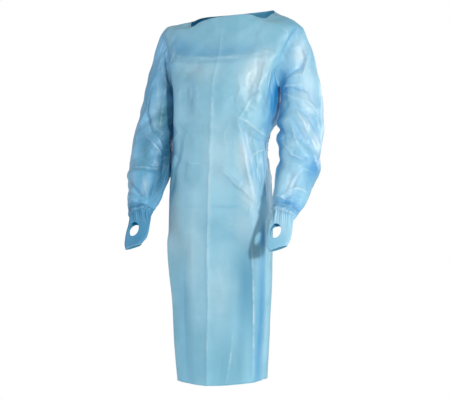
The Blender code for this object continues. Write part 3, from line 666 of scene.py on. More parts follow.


# Zones where the film is painted deeper blue, partly as it is doubled and partly as painted shade
# in the armpits, under the arms and on the side away from the light; paler, as painted highlight
# where it faces the light; or with painted shade, darker and greyer, as in the painted shadow of a
# cuff on the skirt and towards the hem.
Zone = namedtuple("Zone", "across along halfAcross halfAlong deep pale dull", defaults=(0, 0))
bodyZones = [Zone(*row) for row in (
    # painted shade in the +X armpit, beside the arm
    (84, -0.23, 17, 0.12, 1),
    (-36, -0.052, 20, 0.042, 0.5),
    (-12, -0.064, 12, 0.018, 0.42),
    (18, -0.05, 14, 0.02, 0.3),
    # painted shade on the skirt, darker towards the hem
    (44, -0.8, 16, 0.2, 0.22, 0, 1),
    (30, -1.08, 30, 0.14, 0, 0, 0.9),
    (40, -0.42, 12, 0.07, 0, 0.7),
    (72, -0.06, 9, 0.06, 0.6),
    (82, -0.52, 10, 0.12, 0.45),
    (-60, -0.11, 10, 0.055, 0.55),
    (-66, -0.3, 13, 0.2, 0.5),
    (0, -0.055, 45, 0.028, 0.35),
    (71, -0.96, 11, 0.32, 0.66),
    # painted shadow of the +X cuff on the skirt, deep and darker
    (74, -0.68, 9, 0.055, 0.8, 0, 0.8),
    (-48, -0.64, 18, 0.12, 0, 0.35),
    (38, -0.16, 13, 0.08, 0, 0.75),
    (46, -0.54, 13, 0.07, 0, 0.55),
    (38, -0.64, 14, 0.07, 0, 0.3),
    (-16, -0.14, 18, 0.04, 0, 0.25),
    (8, -0.42, 16, 0.12, 0, 0.25),
    (12, -0.85, 13, 0.11, 0, 0.25),
    (-18, -0.72, 12, 0.2, 0, 0.2),
    (112, -0.24, 14, 0.12, 0.55),
    (-112, -0.24, 14, 0.12, 0.55),
    (166, -0.39, 22, 0.04, 0.35),
    (-150, -0.16, 16, 0.07, 0, 0.4),
    (150, -0.56, 16, 0.08, 0, 0.35),
    (-152, -0.8, 16, 0.14, 0, 0.3),
)]
leftSleeveZones = [Zone(*row) for row in (
    (128, 0.55, 34, 0.35, 0.95),
    (154, 2.3, 22, 1.3, 0.7),
    (141, 3.6, 19, 2.3, 0.9),
    (60, 7.1, 90, 0.7, 0.8),
    (250, 7.1, 90, 0.7, 0.5),
    (14, 4.35, 30, 0.55, 0.7),
    (24, 3.1, 16, 0.55, 0, 0.5),
    (250, 0.8, 40, 0.6, 0.5),
    (52, 0.34, 24, 0.16, 0, 0.75),
    (48, 1.2, 26, 0.8, 0, 0.4),
    (52, 2.6, 20, 0.8, 0, 0.35),
    (72, 5.5, 20, 0.7, 0, 0.45),
    (280, 2.6, 30, 0.9, 0, 0.35),
)]
rightSleeveZones = [Zone(*row) for row in (
    (140, 0.3, 40, 0.3, 0.8),
    (162, 3.8, 34, 2.8, 1),
    (96, 3.1, 30, 0.8, 0.45),
    (130, 1.7, 30, 1.3, 0, 0, 1),
    (100, 4, 22, 1, 0, 0, 0.6),
    (60, 7.1, 90, 0.5, 0.25),
    (40, 5.6, 26, 1.4, 0, 0.4),
    (40, 3.2, 22, 2.4, 0, 0.45),
    (60, 5.2, 20, 0.9, 0, 0.35),
    (250, 7.1, 90, 0.5, 0.6),
    (140, 5.8, 20, 0.8, 0.6),
    (106, 1.4, 14, 0.9, 0, 0.3),
    (112, 5.6, 12, 0.5, 0, 0.55),
    (270, 2.4, 30, 0.9, 0, 0.3),
)]


def zoneTones(across, along, zones):
    deep, pale, dull = (np.zeros_like(across) for _ in range(3))
    for zone in zones:
        offset = np.degrees(wrapped(across - math.radians(zone.across))) / zone.halfAcross
        form = np.exp(-(offset**2) - ((along - zone.along) / zone.halfAlong) ** 2)
        deep = np.maximum(deep, zone.deep * form)
        pale = np.maximum(pale, zone.pale * form)
        dull = np.maximum(dull, zone.dull * form)
    return deep, pale, dull


def linearColour(text):  # sRGB hex to linear light
    channels = [int(text[start : start + 2], 16) / 255 for start in (1, 3, 5)]
    spread = [c / 12.92 if c <= 0.04045 else ((c + 0.055) / 1.055) ** 2.4 for c in channels]
    return (*spread, 1)


def setInputs(tree, node, inputs):
    for name, value in inputs.items():
        if isinstance(value, bpy.types.NodeSocket):
            tree.links.new(value, node.inputs[name])
        else:
            node.inputs[name].default_value = value


def addNode(tree, kind, inputs=None, output=0, **settings):  # gives one output of the new node
    node = tree.nodes.new(kind)
    for name, value in settings.items():
        setattr(node, name, value)
    setInputs(tree, node, inputs or {})
    return node.outputs[output] if len(node.outputs) else None


# Blown polyethylene film, embossed with fine dots. It is hazy and soft blue where it is single
# and taut, deep blue where layers gather the colour and, as painted shade, in folds and hollows,
# darker and greyer with painted shade, white along hard creases, partly whitened film and partly
# painted highlight, and paler as painted highlight where it faces the light.
Look = namedtuple("Look", "clear cloud dull deep pale")
filmLook = {
    "body": Look("#96cbe2", "#83bcd4", "#6ba5bb", "#1c88c6", "#d6ebf2"),
    "sleeve": Look("#99cde8", "#7fbadb", "#6fabc9", "#1983c8", "#d6ebf6"),
    # a darker copy of the sleeve's film, as painted shade on the -X side, away from the key lamp
    "shadeSideSleeve": Look("#86c6f0", "#6bb2dc", "#44879a", "#1a5c7a", "#bcdcee"),
    "cuff": Look("#9fcfe6", "#88c1dd", "#74afca", "#3a8fc6", "#d8ebf4"),
    # a darker copy of the cuff's film, as painted shade on the -X side, away from the key lamp
    "shadeSideCuff": Look("#549dc4", "#4a90b8", "#4083a6", "#256f9c", "#a6cce2"),
    "tie": Look("#93c4da", "#7fb3ca", "#6fa5bd", "#2f88bf", "#d0e5ec"),
    # darker, as painted shade inside the gown
    "inside": Look("#6ba2b8", "#5b91a8", "#4e8399", "#40789a", "#9cc4d4"),
    # paler, as a painted highlight along the cut edges
    "rim": Look("#b4d8e6", "#a5cddd", "#96c1d3", "#5fa4c8", "#dcedf3"),
}
filmDetail = {
    "cloudSize": 0.15,  # metres across one hazy patch
    "crinkleSize": 0.007,  # small crinkles between the creases
    "crinkleDepth": 0.00045,
    "dotSpacing": 0.0026,  # the real dots are about 1 mm apart, drawn coarser so that they show
    "dotDepth": 0.00009,
    "ior": 1.51,
    "roughness": (0.39, 0.55),
    "glow": 0.16,  # share of the light that scatters inside the film
    "glowInside": 0.45,
    "glowDepth": 0.004,
    "glowColours": (0.2, 0.6, 1.0),
    "gloss": 0.08,
    "glossRoughness": 0.22,
    "cloudRange": (0.36, 0.66),
    "crinkleStrength": 0.55,
    "dotStrength": 0.6,
    "dotScatter": 0.15,
}
toneNames = ("deepAndShadeTone", "paleAndHighlightTone", "paintedShadeTone")


def filmMaterial(kind):
    look, detail = filmLook[kind], filmDetail
    material = bpy.data.materials.new("embossedPolyethyleneFilm_" + kind)
    material.use_nodes = True
    tree = material.node_tree
    shader = tree.nodes["Principled BSDF"]
    place = addNode(tree, "ShaderNodeTexCoord", output="Object")
    sheetPlace = addNode(tree, "ShaderNodeUVMap", uv_map="filmUv")
    deep, pale, dull = (
        addNode(tree, "ShaderNodeAttribute", output="Fac", attribute_name=tone)
        for tone in toneNames
    )
    cloud = addNode(
        tree,
        "ShaderNodeTexNoise",
        {"Vector": place, "Scale": 1 / detail["cloudSize"], "Detail": 4, "Roughness": 0.55},
    )
    thin, thick = detail["cloudRange"]
    cloudShare = addNode(
        tree,
        "ShaderNodeMapRange",
        {"Value": cloud, "From Min": thin, "From Max": thick},
        interpolation_type="SMOOTHSTEP",
    )
    base = linearColour(look.clear)
    # painted shade, deep blue with painted shade in it, and pale with painted highlight, laid over
    # the film's own colour and its random cloud
    layers = ((cloudShare, look.cloud), (dull, look.dull), (deep, look.deep), (pale, look.pale))
    for share, colour in layers:  # inputs 6 and 7 of the node are its two colours
        inputs = {0: share, 6: base, 7: linearColour(colour)}
        base = addNode(tree, "ShaderNodeMix", inputs, output=2, data_type="RGBA")
    crinkle = addNode(
        tree,
        "ShaderNodeTexNoise",
        {"Vector": place, "Scale": 1 / detail["crinkleSize"], "Detail": 3, "Distortion": 0.6},
    )
    dots = addNode(
        tree,
        "ShaderNodeTexVoronoi",
        {
            "Vector": sheetPlace,
            "Scale": 1 / detail["dotSpacing"],
            "Randomness": detail["dotScatter"],
        },
        output="Distance",
        feature="SMOOTH_F1",
    )
    low, high = detail["roughness"]
    rough = addNode(tree, "ShaderNodeMapRange", {"Value": crinkle, "To Min": low, "To Max": high})
    bump = None
    for height, label in ((crinkle, "crinkle"), (dots, "dot")):
        inputs = {
            "Height": height,
            "Distance": detail[label + "Depth"],
            "Strength": detail[label + "Strength"],
        }
        if bump:
            inputs["Normal"] = bump
        bump = addNode(tree, "ShaderNodeBump", inputs)
    surface = {
        "Base Color": base,
        "Roughness": rough,
        "Normal": bump,
        "IOR": detail["ior"],
        "Subsurface Weight": detail["glowInside" if kind == "inside" else "glow"],
        "Subsurface Radius": detail["glowColours"],
        "Subsurface Scale": detail["glowDepth"],
        "Coat Weight": detail["gloss"],
        "Coat Roughness": detail["glossRoughness"],
    }
    setInputs(tree, shader, surface)
    return material


filmMaterials = {kind: filmMaterial(kind) for kind in filmLook}
filmThickness = 0.0004


# A sheet of film through a grid of points, with its UV in metres and its tones, painted shade and
# highlight among them, on the points.
def filmSheet(name, points, uv, tones, kind, around=False):
    rows, columns = points.shape[:2]
    steps = columns if around else columns - 1
    row, column = np.meshgrid(np.arange(rows - 1), np.arange(steps), indexing="ij")
    nextColumn = (column + 1) % columns
    corners = [
        row * columns + column,
        row * columns + nextColumn,
        (row + 1) * columns + nextColumn,
        (row + 1) * columns + column,
    ]
    faces = np.stack([corner.ravel() for corner in corners], axis=1)
    mesh = bpy.data.meshes.new(name)
    mesh.from_pydata(points.reshape(-1, 3).tolist(), [], faces.tolist())
    layer = mesh.uv_layers.new(name="filmUv")
    across = np.append(uv[0], 2 * uv[0][-1] - uv[0][-2])
    sides = [column, column + 1, column + 1, column]
    levels = [row, row, row + 1, row + 1]
    u = np.stack([across[side.ravel()] for side in sides], axis=1)
    v = np.stack([uv[1][level.ravel()] for level in levels], axis=1)
    layer.data.foreach_set("uv", np.stack([u, v], axis=-1).astype(np.float32).ravel())
    for label, values in zip(toneNames, tones):
        attribute = mesh.attributes.new(label, "FLOAT", "POINT")
        attribute.data.foreach_set("value", values.astype(np.float32).ravel())
    mesh.shade_smooth()
    mesh.materials.append(filmMaterials[kind])
    mesh.materials.append(filmMaterials["inside"])  # a darker colour, as painted shade inside the gown, seen through the openings
    piece = addObject(name, mesh)
    wall = piece.modifiers.new("filmWall", "SOLIDIFY")
    wall.thickness = filmThickness
    wall.offset = 0
    wall.material_offset = 1
    return piece


def addObject(name, data):
    piece = bpy.data.objects.new(name, data)
    bpy.context.scene.collection.objects.link(piece)
    return piece


def ringTurns(count):
    return np.arange(count) * 2 * math.pi / count


sideLabel = {1: "Left", -1: "Right"}


def finishPiece(piece, nodes):
    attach(piece, "root")
    if nodes:
        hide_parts(*nodes)
    return piece


# Body panels: the rows follow the height, then the armhole's turn, then the shoulder.
bodyGrid = {
    "skirtRows": 88,
    "skirtTop": -0.62,
    "waistRows": 150,
    "armholeRows": 74,
    "shoulderRows": 22,
    "frontColumns": {1: 86, -1: 60},  # more on the side that has more creases
    "backColumns": 76,
    "crumpleColumns": 320,
    "edgeFade": (0.002, 0.014),
    "creaseGain": 1.35,
}


def bodyRows():
    form, grid = bodyForm, bodyGrid
    lowest = tableValue(bodyRings, "height", np.array(0.0))
    underarm = tableValue(bodyRings, "height", np.array(form["underarmLevel"]))
    skirt = np.linspace(lowest, grid["skirtTop"], grid["skirtRows"])[:-1]
    waist = np.linspace(grid["skirtTop"], underarm, grid["waistRows"])[:-1]
    below = levelAt(np.concatenate([skirt, waist]))
    turns = np.linspace(math.pi, 0, grid["armholeRows"])
    shoulder = np.linspace(form["shoulderLevel"], form["neckLevel"], grid["shoulderRows"])[1:]
    levels = np.concatenate([below, armholeEdge(turns)[1], shoulder])
    rowTurns = np.full(len(levels), np.nan)
    rowTurns[len(below) : len(below) + len(turns)] = turns
    return levels, rowTurns


def panelGrid(edgeSign, innerAngle, columns):
    levels, turns = bodyRows()
    bite = bodyForm["armholeFront"] if edgeSign < 0 else bodyForm["armholeBack"]
    inArmhole = ~np.isnan(turns)
    width = tableValue(bodyRings, "halfWidth", levels)
    edge = np.full(len(levels), math.pi / 2) + edgeSign * bodyForm["seamGap"] / 2 / width
    edge[inArmhole] += edgeSign * bite * np.sin(turns[inArmhole])
    share = np.linspace(0, 1, columns + 1)
    angles = innerAngle + (edge[:, None] - innerAngle) * share[None, :]
    return angles, np.repeat(levels[:, None], columns + 1, axis=1)


def bodyPlace(angle, height):
    return bodySurface(np.radians(angle), levelAt(height / 1000))


armholeTurns = np.linspace(0, 2 * math.pi, 90)


def armholeFade(points):  # creases die out at the armholes, so that the seams stay closed
    fade = np.ones(len(points))
    for side in (1, -1):
        angle, level = armholeEdge(armholeTurns)
        for spot in bodySurface(side * angle, level):
            distance = np.linalg.norm(points - spot, axis=1)
            fade = np.minimum(fade, smoothStep(distance, *bodyGrid["edgeFade"]))
    return fade


bodyCrumple = (
    Crumple(11, 120, (0.3, 0.97), (0.03, 0.97), (0.02, 0.07), 0.0032, 0.25, 0.7, 1),
    Crumple(17, 70, (0.36, 0.86), (0.555, 0.745), (0.02, 0.06), 0.0032, -0.35, 0.6, 1.6),
    Crumple(23, 44, (0.01, 0.28), (0.03, 0.97), (0.04, 0.13), 0.005, 0.05, 0.5, 0.8),
)
chestFacets = Facets(31, 7, (0.045, 0.11), (1, 0.6, 0.9), 0.042, 0.018)
skirtFacets = Facets(37, 5, (0.06, 0.15), (1, 0.5, 0.22), 0.026, 0.02)
facetHeights = {"chestFrom": -0.62, "chestFull": -0.46, "skirtFull": -0.64, "skirtFrom": -0.5}


# The creased body at any angles and levels. All pieces that lie on the body use it, so that
# what lies on a panel follows the panel's creases.
def creasedBody(angles, levels, lift):
    smooth = bodySurface(angles, levels)
    normals = surfaceNormals(bodySurface, angles, levels)
    flat, flatNormals = smooth.reshape(-1, 3), normals.reshape(-1, 3)
    creases, gain = frontCreases + backCreases, bodyGrid["creaseGain"]
    height, crestWhiteAndHighlight, trough = creaseField(flat, flatNormals, creases, bodyPlace, gain)
    around = np.linspace(-math.pi, math.pi, bodyGrid["crumpleColumns"])
    wholeGrid = bodySurface(*np.meshgrid(around, bodyRows()[0]))
    for settings in bodyCrumple:
        small = crumpleCreases(wholeGrid.shape[:2], settings)
        extra = creaseField(flat, flatNormals, small, gridPlace(wholeGrid))
        height = height + extra[0]
        crestWhiteAndHighlight = np.maximum(crestWhiteAndHighlight, paint["crumple"] * extra[1])
    at = facetHeights
    onChest = smoothStep(flat[:, 2], at["chestFrom"], at["chestFull"])
    onSkirt = 1 - smoothStep(flat[:, 2], at["skirtFull"], at["skirtFrom"])
    for settings, share in ((chestFacets, onChest), (skirtFacets, onSkirt)):
        facets = facetField(flat, settings)
        height = height + facets[0] * share
        crestWhiteAndHighlight = np.maximum(crestWhiteAndHighlight, paint["bodyFacet"] * facets[1] * share)
    fade = armholeFade(flat)
    height = height * fade
    heights = tableValue(bodyRings, "height", levels)
    deep, pale, dull = zoneTones(angles, heights, bodyZones)
    shape = angles.shape
    trough, crestWhiteAndHighlight = ((tone * fade).reshape(shape) for tone in (trough, crestWhiteAndHighlight))
    # painted shade in the troughs, and white with painted highlight along the crests
    deep = np.clip(np.maximum(deep, paint["trough"] * trough), 0, 1)
    pale = np.clip(np.maximum(pale, paint["crestWhiteAndHighlight"] * crestWhiteAndHighlight), 0, 1)
    points = smooth + normals * (height.reshape(shape) + lift)[..., None]
    return points, normals, (deep, pale, dull)


def lapLift(side, angles):
    if side > 0:
        return np.zeros_like(angles)
    return bodyForm["lapLift"] * smoothStep(angles, bodyForm["lapStarts"], bodyForm["lapIsFull"])


def panelUv(points):
    middle = points.shape[0] // 2
    across = np.linalg.norm(np.diff(points[middle], axis=0), axis=1)
    along = np.linalg.norm(np.diff(points[:, points.shape[1] // 2], axis=0), axis=1)
    return np.concatenate([[0], np.cumsum(across)]), np.concatenate([[0], np.cumsum(along)])


def frontFilm():
    left, levels = panelGrid(-1, 0, bodyGrid["frontColumns"][1])
    right, _ = panelGrid(-1, 0, bodyGrid["frontColumns"][-1])
    angles = np.concatenate([-right[:, :0:-1], left], axis=1)
    levels = np.repeat(levels[:, :1], angles.shape[1], axis=1)
    points, normals, tones = creasedBody(angles, levels, 0)
    piece = filmSheet("filmFront", points, panelUv(points), tones, "body")
    finishPiece(piece, ["front"])
    return points, normals


def backFilm(side):
    angles, levels = panelGrid(1, math.pi + bodyForm["lapAngle"], bodyGrid["backColumns"])
    lift = lapLift(side, angles)
    points, normals, tones = creasedBody(side * angles, levels, lift)
    if side > 0:
        points, normals = points[:, ::-1], normals[:, ::-1]
        tones = [tone[:, ::-1] for tone in tones]
    label = sideLabel[side]
    piece = filmSheet("filmBack" + label, points, panelUv(points), tones, "body")
    finishPiece(piece, ["back_" + label.lower()])
    return points, normals


front = frontFilm()
print("front made")
backs = {side: backFilm(side) for side in (1, -1)}
print("backs made")

# Sleeves and cuffs share one creased surface, so that they meet at the wrist.
sleeveGrid = {
    "sides": 184,
    "capRows": 64,
    "armRows": 170,
    "cuffRows": 56,
    "cuffGap": 0.012,
    "crumpleGrid": 120,
    "seamPleats": 30,
    "seamPleatRise": 0.0011,
    "wristPleats": 27,
    "wristPleatRise": 0.0013,
    "creaseGain": 1.5,
}
sleeveCrumple = {
    1: Crumple(5, 150, (0.06, 0.95), (0.03, 0.97), (0.02, 0.075), 0.0036, 0.8, 0.7, 1.25),
    -1: Crumple(8, 130, (0.06, 0.95), (0.03, 0.97), (0.02, 0.075), 0.0036, -0.8, 0.7, 0.9),
}
sleeveFacets = {
    1: Facets(41, 8, (0.035, 0.085), (0.9, 0.9, 1), 0.105, 0.015),
    -1: Facets(43, 8, (0.035, 0.085), (0.9, 0.9, 1), 0.085, 0.014),
}
sleeveEnds = {  # where the forms of the sleeve fade, in rows, and how much they fade
    "seamFade": 0.10,
    "seamPleatReach": 0.16,
    "calmFrom": 6.2,
    "calmFull": 7.2,
    "calmShare": 0.75,
    "plainFrom": 6.3,
    "plainFull": 7.0,
    "plainShare": 0.65,
    "wristRow": 8.0,
    "aboveWrist": 0.9,
    "belowWrist": 1.0,
}
sleeveCreases = {1: leftSleeveCreases + wristCreases, -1: rightSleeveCreases + wristCreases}
sleeveZones = {1: leftSleeveZones, -1: rightSleeveZones}


def creasedSleeve(side, turns, along):
    surface, ends = sleeveSurface(side), sleeveEnds
    turn, run = np.meshgrid(turns, along)
    smooth = surface(turn, run)
    inside = np.clip(run, 2 * normalStep, len(armRings) - 2 * normalStep)
    normals = surfaceNormals(surface, turn, inside) * side
    flat, flatNormals = smooth.reshape(-1, 3), normals.reshape(-1, 3)

    def place(turnAt, alongAt):
        return surface(np.radians(turnAt), alongAt)

    creases, gain = sleeveCreases[side], sleeveGrid["creaseGain"]
    height, crestWhiteAndHighlight, trough = creaseField(flat, flatNormals, creases, place, gain)
    wholeRows = np.linspace(0, armForm["cuffStart"] + 1, sleeveGrid["crumpleGrid"])
    wholeTurns = np.linspace(0, 2 * math.pi, sleeveGrid["crumpleGrid"])
    whole = surface(*np.meshgrid(wholeTurns, wholeRows))
    small = crumpleCreases(whole.shape[:2], sleeveCrumple[side])
    extra = creaseField(flat, flatNormals, small, gridPlace(whole))
    shape = turn.shape
    facets = facetField(flat, sleeveFacets[side])
    calm = 1 - ends["calmShare"] * smoothStep(run.ravel(), ends["calmFrom"], ends["calmFull"])
    height = (height + extra[0] + facets[0] * calm).reshape(shape)
    crestWhiteAndHighlight = np.maximum(crestWhiteAndHighlight, paint["crumple"] * extra[1])
    crestWhiteAndHighlight = np.maximum(crestWhiteAndHighlight, paint["sleeveFacet"] * facets[1] * calm).reshape(shape)
    fade = smoothStep(run, 0, ends["seamFade"])
    height = height * fade
    seamPleats = np.cos(sleeveGrid["seamPleats"] * turn + 2 * np.sin(3 * turn))
    seamShare = fade * np.exp(-run / ends["seamPleatReach"])
    height = height + sleeveGrid["seamPleatRise"] * seamPleats * seamShare
    wristPleats = np.cos(sleeveGrid["wristPleats"] * turn + 1.8 * np.sin(4 * turn + side))
    fromWrist = run - ends["wristRow"]
    wristReach = np.where(fromWrist < 0, ends["aboveWrist"], ends["belowWrist"])
    wristShare = np.exp(-((fromWrist / wristReach) ** 2))
    height = height + sleeveGrid["wristPleatRise"] * wristPleats * wristShare
    deep, pale, dull = zoneTones(turn, run, sleeveZones[side])
    # painted shade in the troughs and in the hollows of the wrist pleats, then white with painted
    # highlight along the crests
    deep = np.maximum(deep, paint["trough"] * trough.reshape(shape) * fade)
    deep = np.maximum(deep, paint["pleat"] * wristShare * (1 - wristPleats) / 2)
    plain = 1 - ends["plainShare"] * smoothStep(run, ends["plainFrom"], ends["plainFull"])
    pale = np.maximum(pale, paint["crestWhiteAndHighlight"] * crestWhiteAndHighlight * fade * plain)
    points = smooth + normals * height[..., None]
    tones = [np.clip(tone, 0, 1)[:, ::side] for tone in (deep, pale, dull)]
    return points[:, ::side], normals[:, ::side], tones


def sleeveFilm(side):
    grid = sleeveGrid
    turns = ringTurns(grid["sides"])
    cap = np.linspace(0, 1, grid["capRows"])[:-1]
    along = np.concatenate([cap, np.linspace(1, armForm["cuffStart"] + 1, grid["armRows"])])
    points, normals, tones = creasedSleeve(side, turns, along)
    label = sideLabel[side]
    # the -X sleeve takes the darker copy of the film, as painted shade away from the key lamp
    kind = "sleeve" if side > 0 else "shadeSideSleeve"
    piece = filmSheet("filmSleeve" + label, points, panelUv(points), tones, kind, around=True)
    finishPiece(piece, ["sleeve_" + label.lower()])
    return points, normals


# The thumb holes are cut through both layers of the flat cuffs, off their middle.
thumbHole = {
    "row": 8.75,
    "across": -0.012,
    "halfWide": 0.0185,
    "halfHigh": 0.0235,
    "sides": 40,
    "halfDepth": 0.080,
}


def thumbCutter(side):
    hole = thumbHole
    centre, outward, forward, down = armPath(side, np.array(hole["row"]))
    outward = outward * side
    centre = centre + outward * hole["across"]
    turn = ringTurns(hole["sides"])
    rim = centre + outward * hole["halfWide"] * np.cos(turn)[:, None]
    rim = rim - down * hole["halfHigh"] * np.sin(turn)[:, None]
    depth = forward * hole["halfDepth"]
    count = hole["sides"]
    faces = [(s, s + count, (s + 1) % count + count, (s + 1) % count) for s in range(count)]
    faces += [tuple(range(count)), tuple(range(count, 2 * count))[::-1]]
    mesh = bpy.data.meshes.new("thumbCutter")
    mesh.from_pydata(np.concatenate([rim + depth, rim - depth]).tolist(), [], faces)
    return addObject("thumbCutter", mesh)


def settleMesh(piece):  # turns a piece and its modifiers into a plain mesh
    bpy.context.view_layer.update()
    graph = bpy.context.evaluated_depsgraph_get()
    mesh = bpy.data.meshes.new_from_object(piece.evaluated_get(graph))
    piece.modifiers.clear()
    piece.data = mesh
    return piece


def cuffFilm(side):
    grid = sleeveGrid
    turns = ringTurns(grid["sides"])
    along = np.linspace(armForm["cuffStart"] + 1 + grid["cuffGap"], len(armRings), grid["cuffRows"])
    points, normals, tones = creasedSleeve(side, turns, along)
    label = sideLabel[side]
    # the -X cuff takes the darker copy of the film, as painted shade away from the key lamp
    kind = "cuff" if side > 0 else "shadeSideCuff"
    piece = filmSheet("filmCuff" + label, points, panelUv(points), tones, kind, around=True)
    cutter = thumbCutter(side)
    hole = piece.modifiers.new("thumbHole", "BOOLEAN")
    hole.operation = "DIFFERENCE"
    hole.solver = "EXACT"
    hole.object = cutter
    settleMesh(piece)
    bpy.data.objects.remove(cutter)
    finishPiece(piece, ["cuff_" + label.lower()])
    return points, normals


sleeves = {side: sleeveFilm(side) for side in (1, -1)}
print("sleeves made")
cuffs = {side: cuffFilm(side) for side in (1, -1)}
print("cuffs made")

# Waist ties: two straps, the knot and its two free ends, all laid over the creased back.
tie = {
    "middle": 5.0,
    "halfLevels": 0.15,
    "rows": 14,
    "firstColumn": 14,
    "guideRow": 40,  # the row of the back whose angles the strap follows
    "lift": 0.0009,
    "overLap": 0.0022,
    "stepStarts": math.radians(136),
    "stepEnds": math.radians(158),
    "pleats": 3,
    "pleatRise": 0.0006,
    "pleatSlant": 1.5,
    "pleatHollow": 0.6,
    "pleatShade": 0.25,
    "tailHalfWide": 0.0105,
    "tailRows": 70,
    "tailColumns": 13,
    "tailGap": 0.0006,
    "tailCurl": 0.0016,
    "tailTwist": 26,  # radians of curl for each metre
    "tailLift": 0.0044,
    "tails": (("Left", -4.5, -8.0, 0.235), ("Right", 4.5, 9.5, 0.275)),
}


def tieStrap(side):
    angles, _ = panelGrid(1, math.pi + bodyForm["lapAngle"], bodyGrid["backColumns"])
    angles = angles[tie["guideRow"], tie["firstColumn"] :]
    low, high = tie["middle"] - tie["halfLevels"], tie["middle"] + tie["halfLevels"]
    angles, levels = np.meshgrid(angles, np.linspace(low, high, tie["rows"]))
    lift = lapLift(side, angles) + tie["lift"]
    if side > 0:
        lift = lift + tie["overLap"] * smoothStep(angles, tie["stepStarts"], tie["stepEnds"])
    share = (levels - low) / (high - low)
    pleats = 1 - np.cos(2 * math.pi * tie["pleats"] * share + tie["pleatSlant"] * angles)
    lift = lift + tie["pleatRise"] * pleats
    points, _, tones = creasedBody(side * angles, levels, lift)
    # painted shade in the hollows of the strap's pleats
    inPleat = pleats < tie["pleatHollow"]
    tones = (np.clip(tones[0] + tie["pleatShade"] * inPleat, 0, 1), *tones[1:])
    if side > 0:
        points = points[:, ::-1]
        tones = [tone[:, ::-1] for tone in tones]
    label = sideLabel[side]
    piece = filmSheet("filmTie" + label, points, panelUv(points), tones, "tie")
    finishPiece(piece, ["tie_" + label.lower()])


def tieTail(label, angle, endAngle, length):
    strapEdge = bodySurface(np.array(math.pi), np.array(tie["middle"] - tie["halfLevels"]))
    down = np.linspace(0, length, tie["tailRows"])
    level = levelAt(strapEdge[2] - tie["tailGap"] - down)
    middle = math.pi + np.radians(angle + (endAngle - angle) * down / length)
    width = tableValue(bodyRings, "halfWidth", level)
    spread = np.linspace(-1, 1, tie["tailColumns"])
    twist = np.sin(tie["tailTwist"] * down + angle)
    curl = np.cos(2 * math.pi * spread)[None, :] + twist[:, None]
    lift = tie["tailLift"] + np.abs(tie["tailCurl"] * curl)
    angles = middle[:, None] - spread[None, :] * tie["tailHalfWide"] / width[:, None]
    levels = np.repeat(level[:, None], len(spread), axis=1)
    points, _, tones = creasedBody(angles, levels, lift)
    tones = [tone[::-1, ::-1] for tone in tones]
    points = points[::-1, ::-1]
    piece = filmSheet("filmTieEnd" + label, points, panelUv(points), tones, "tie")
    finishPiece(piece, ["tie_end_" + label.lower()])


knot = {
    "half": (0.0168, 0.0060, 0.0185),
    "out": 0.0096,
    "sides": 48,
    "rings": 30,
    "hole": 0.02,  # angle left open at each pole
    "fullness": 0.6,
    "folds": ((0.10, 3, 5), (0.05, 7, -4)),  # depth, and waves round and down the knot
}


def tieKnot():
    centre = bodySurface(np.array(math.pi), np.array(tie["middle"]))
    centre = centre + np.array([0, knot["out"], 0])
    lean = np.linspace(knot["hole"], math.pi - knot["hole"], knot["rings"])[:, None]
    turn = ringTurns(knot["sides"])[None, :]
    waves = (depth * np.sin(u * turn + v * lean) for depth, u, v in knot["folds"])
    folds = sum(waves, start=1)
    reach = np.sin(lean) ** knot["fullness"] * folds
    halfX, halfY, halfZ = knot["half"]
    points = np.stack(
        [
            halfX * reach * np.cos(turn),
            halfY * reach * np.sin(turn),
            -halfZ * np.cos(lean) * np.ones_like(turn),
        ],
        axis=-1,
    )
    points = points + centre
    # Painted shade, a deep colour, in the hollows between the folds, and a painted highlight, a
    # pale one, on top of them.
    deep = np.clip(1.3 - 1.1 * folds, 0, 0.6) * np.ones_like(reach)
    tones = (deep, np.clip(2.2 * (folds - 1.06), 0, 0.7))
    piece = filmSheet("filmTieKnot", points, panelUv(points), tones, "tie", around=True)
    finishPiece(piece, ["tie_knot"])


for side in (1, -1):
    tieStrap(side)
for tail in tie["tails"]:
    tieTail(*tail)
tieKnot()
print("ties made")


# A thin rim follows each cut edge, in a paler film as a painted highlight where the light that
# runs inside the film comes out, and a row of short heat marks follows each welded seam. Both
# are made with Geometry Nodes.
def pathTree(name, inputs):
    tree = bpy.data.node_groups.new(name, "GeometryNodeTree")
    tree.interface.new_socket("Geometry", in_out="INPUT", socket_type="NodeSocketGeometry")
    for label in inputs:
        kind = "NodeSocketMaterial" if label == "Film" else "NodeSocketFloat"
        tree.interface.new_socket(label, in_out="INPUT", socket_type=kind)
    tree.interface.new_socket("Geometry", in_out="OUTPUT", socket_type="NodeSocketGeometry")
    source = tree.nodes.new("NodeGroupInput").outputs
    return tree, source, addNode(tree, "GeometryNodeMeshToCurve", {"Mesh": source["Geometry"]})


def closeTree(tree, source, shape):
    real = addNode(tree, "GeometryNodeRealizeInstances", {"Geometry": shape})
    inputs = {"Geometry": real, "Material": source["Film"]}
    painted = addNode(tree, "GeometryNodeSetMaterial", inputs)
    addNode(tree, "NodeGroupOutput", {"Geometry": painted})
    return tree


def rimTree():
    tree, source, path = pathTree("filmRim", ("Rim radius", "Film"))
    inputs = {"Resolution": 6, "Radius": source["Rim radius"]}
    ring = addNode(tree, "GeometryNodeCurvePrimitiveCircle", inputs)
    inputs = {"Curve": path, "Profile Curve": ring, "Fill Caps": True}
    return closeTree(tree, source, addNode(tree, "GeometryNodeCurveToMesh", inputs))


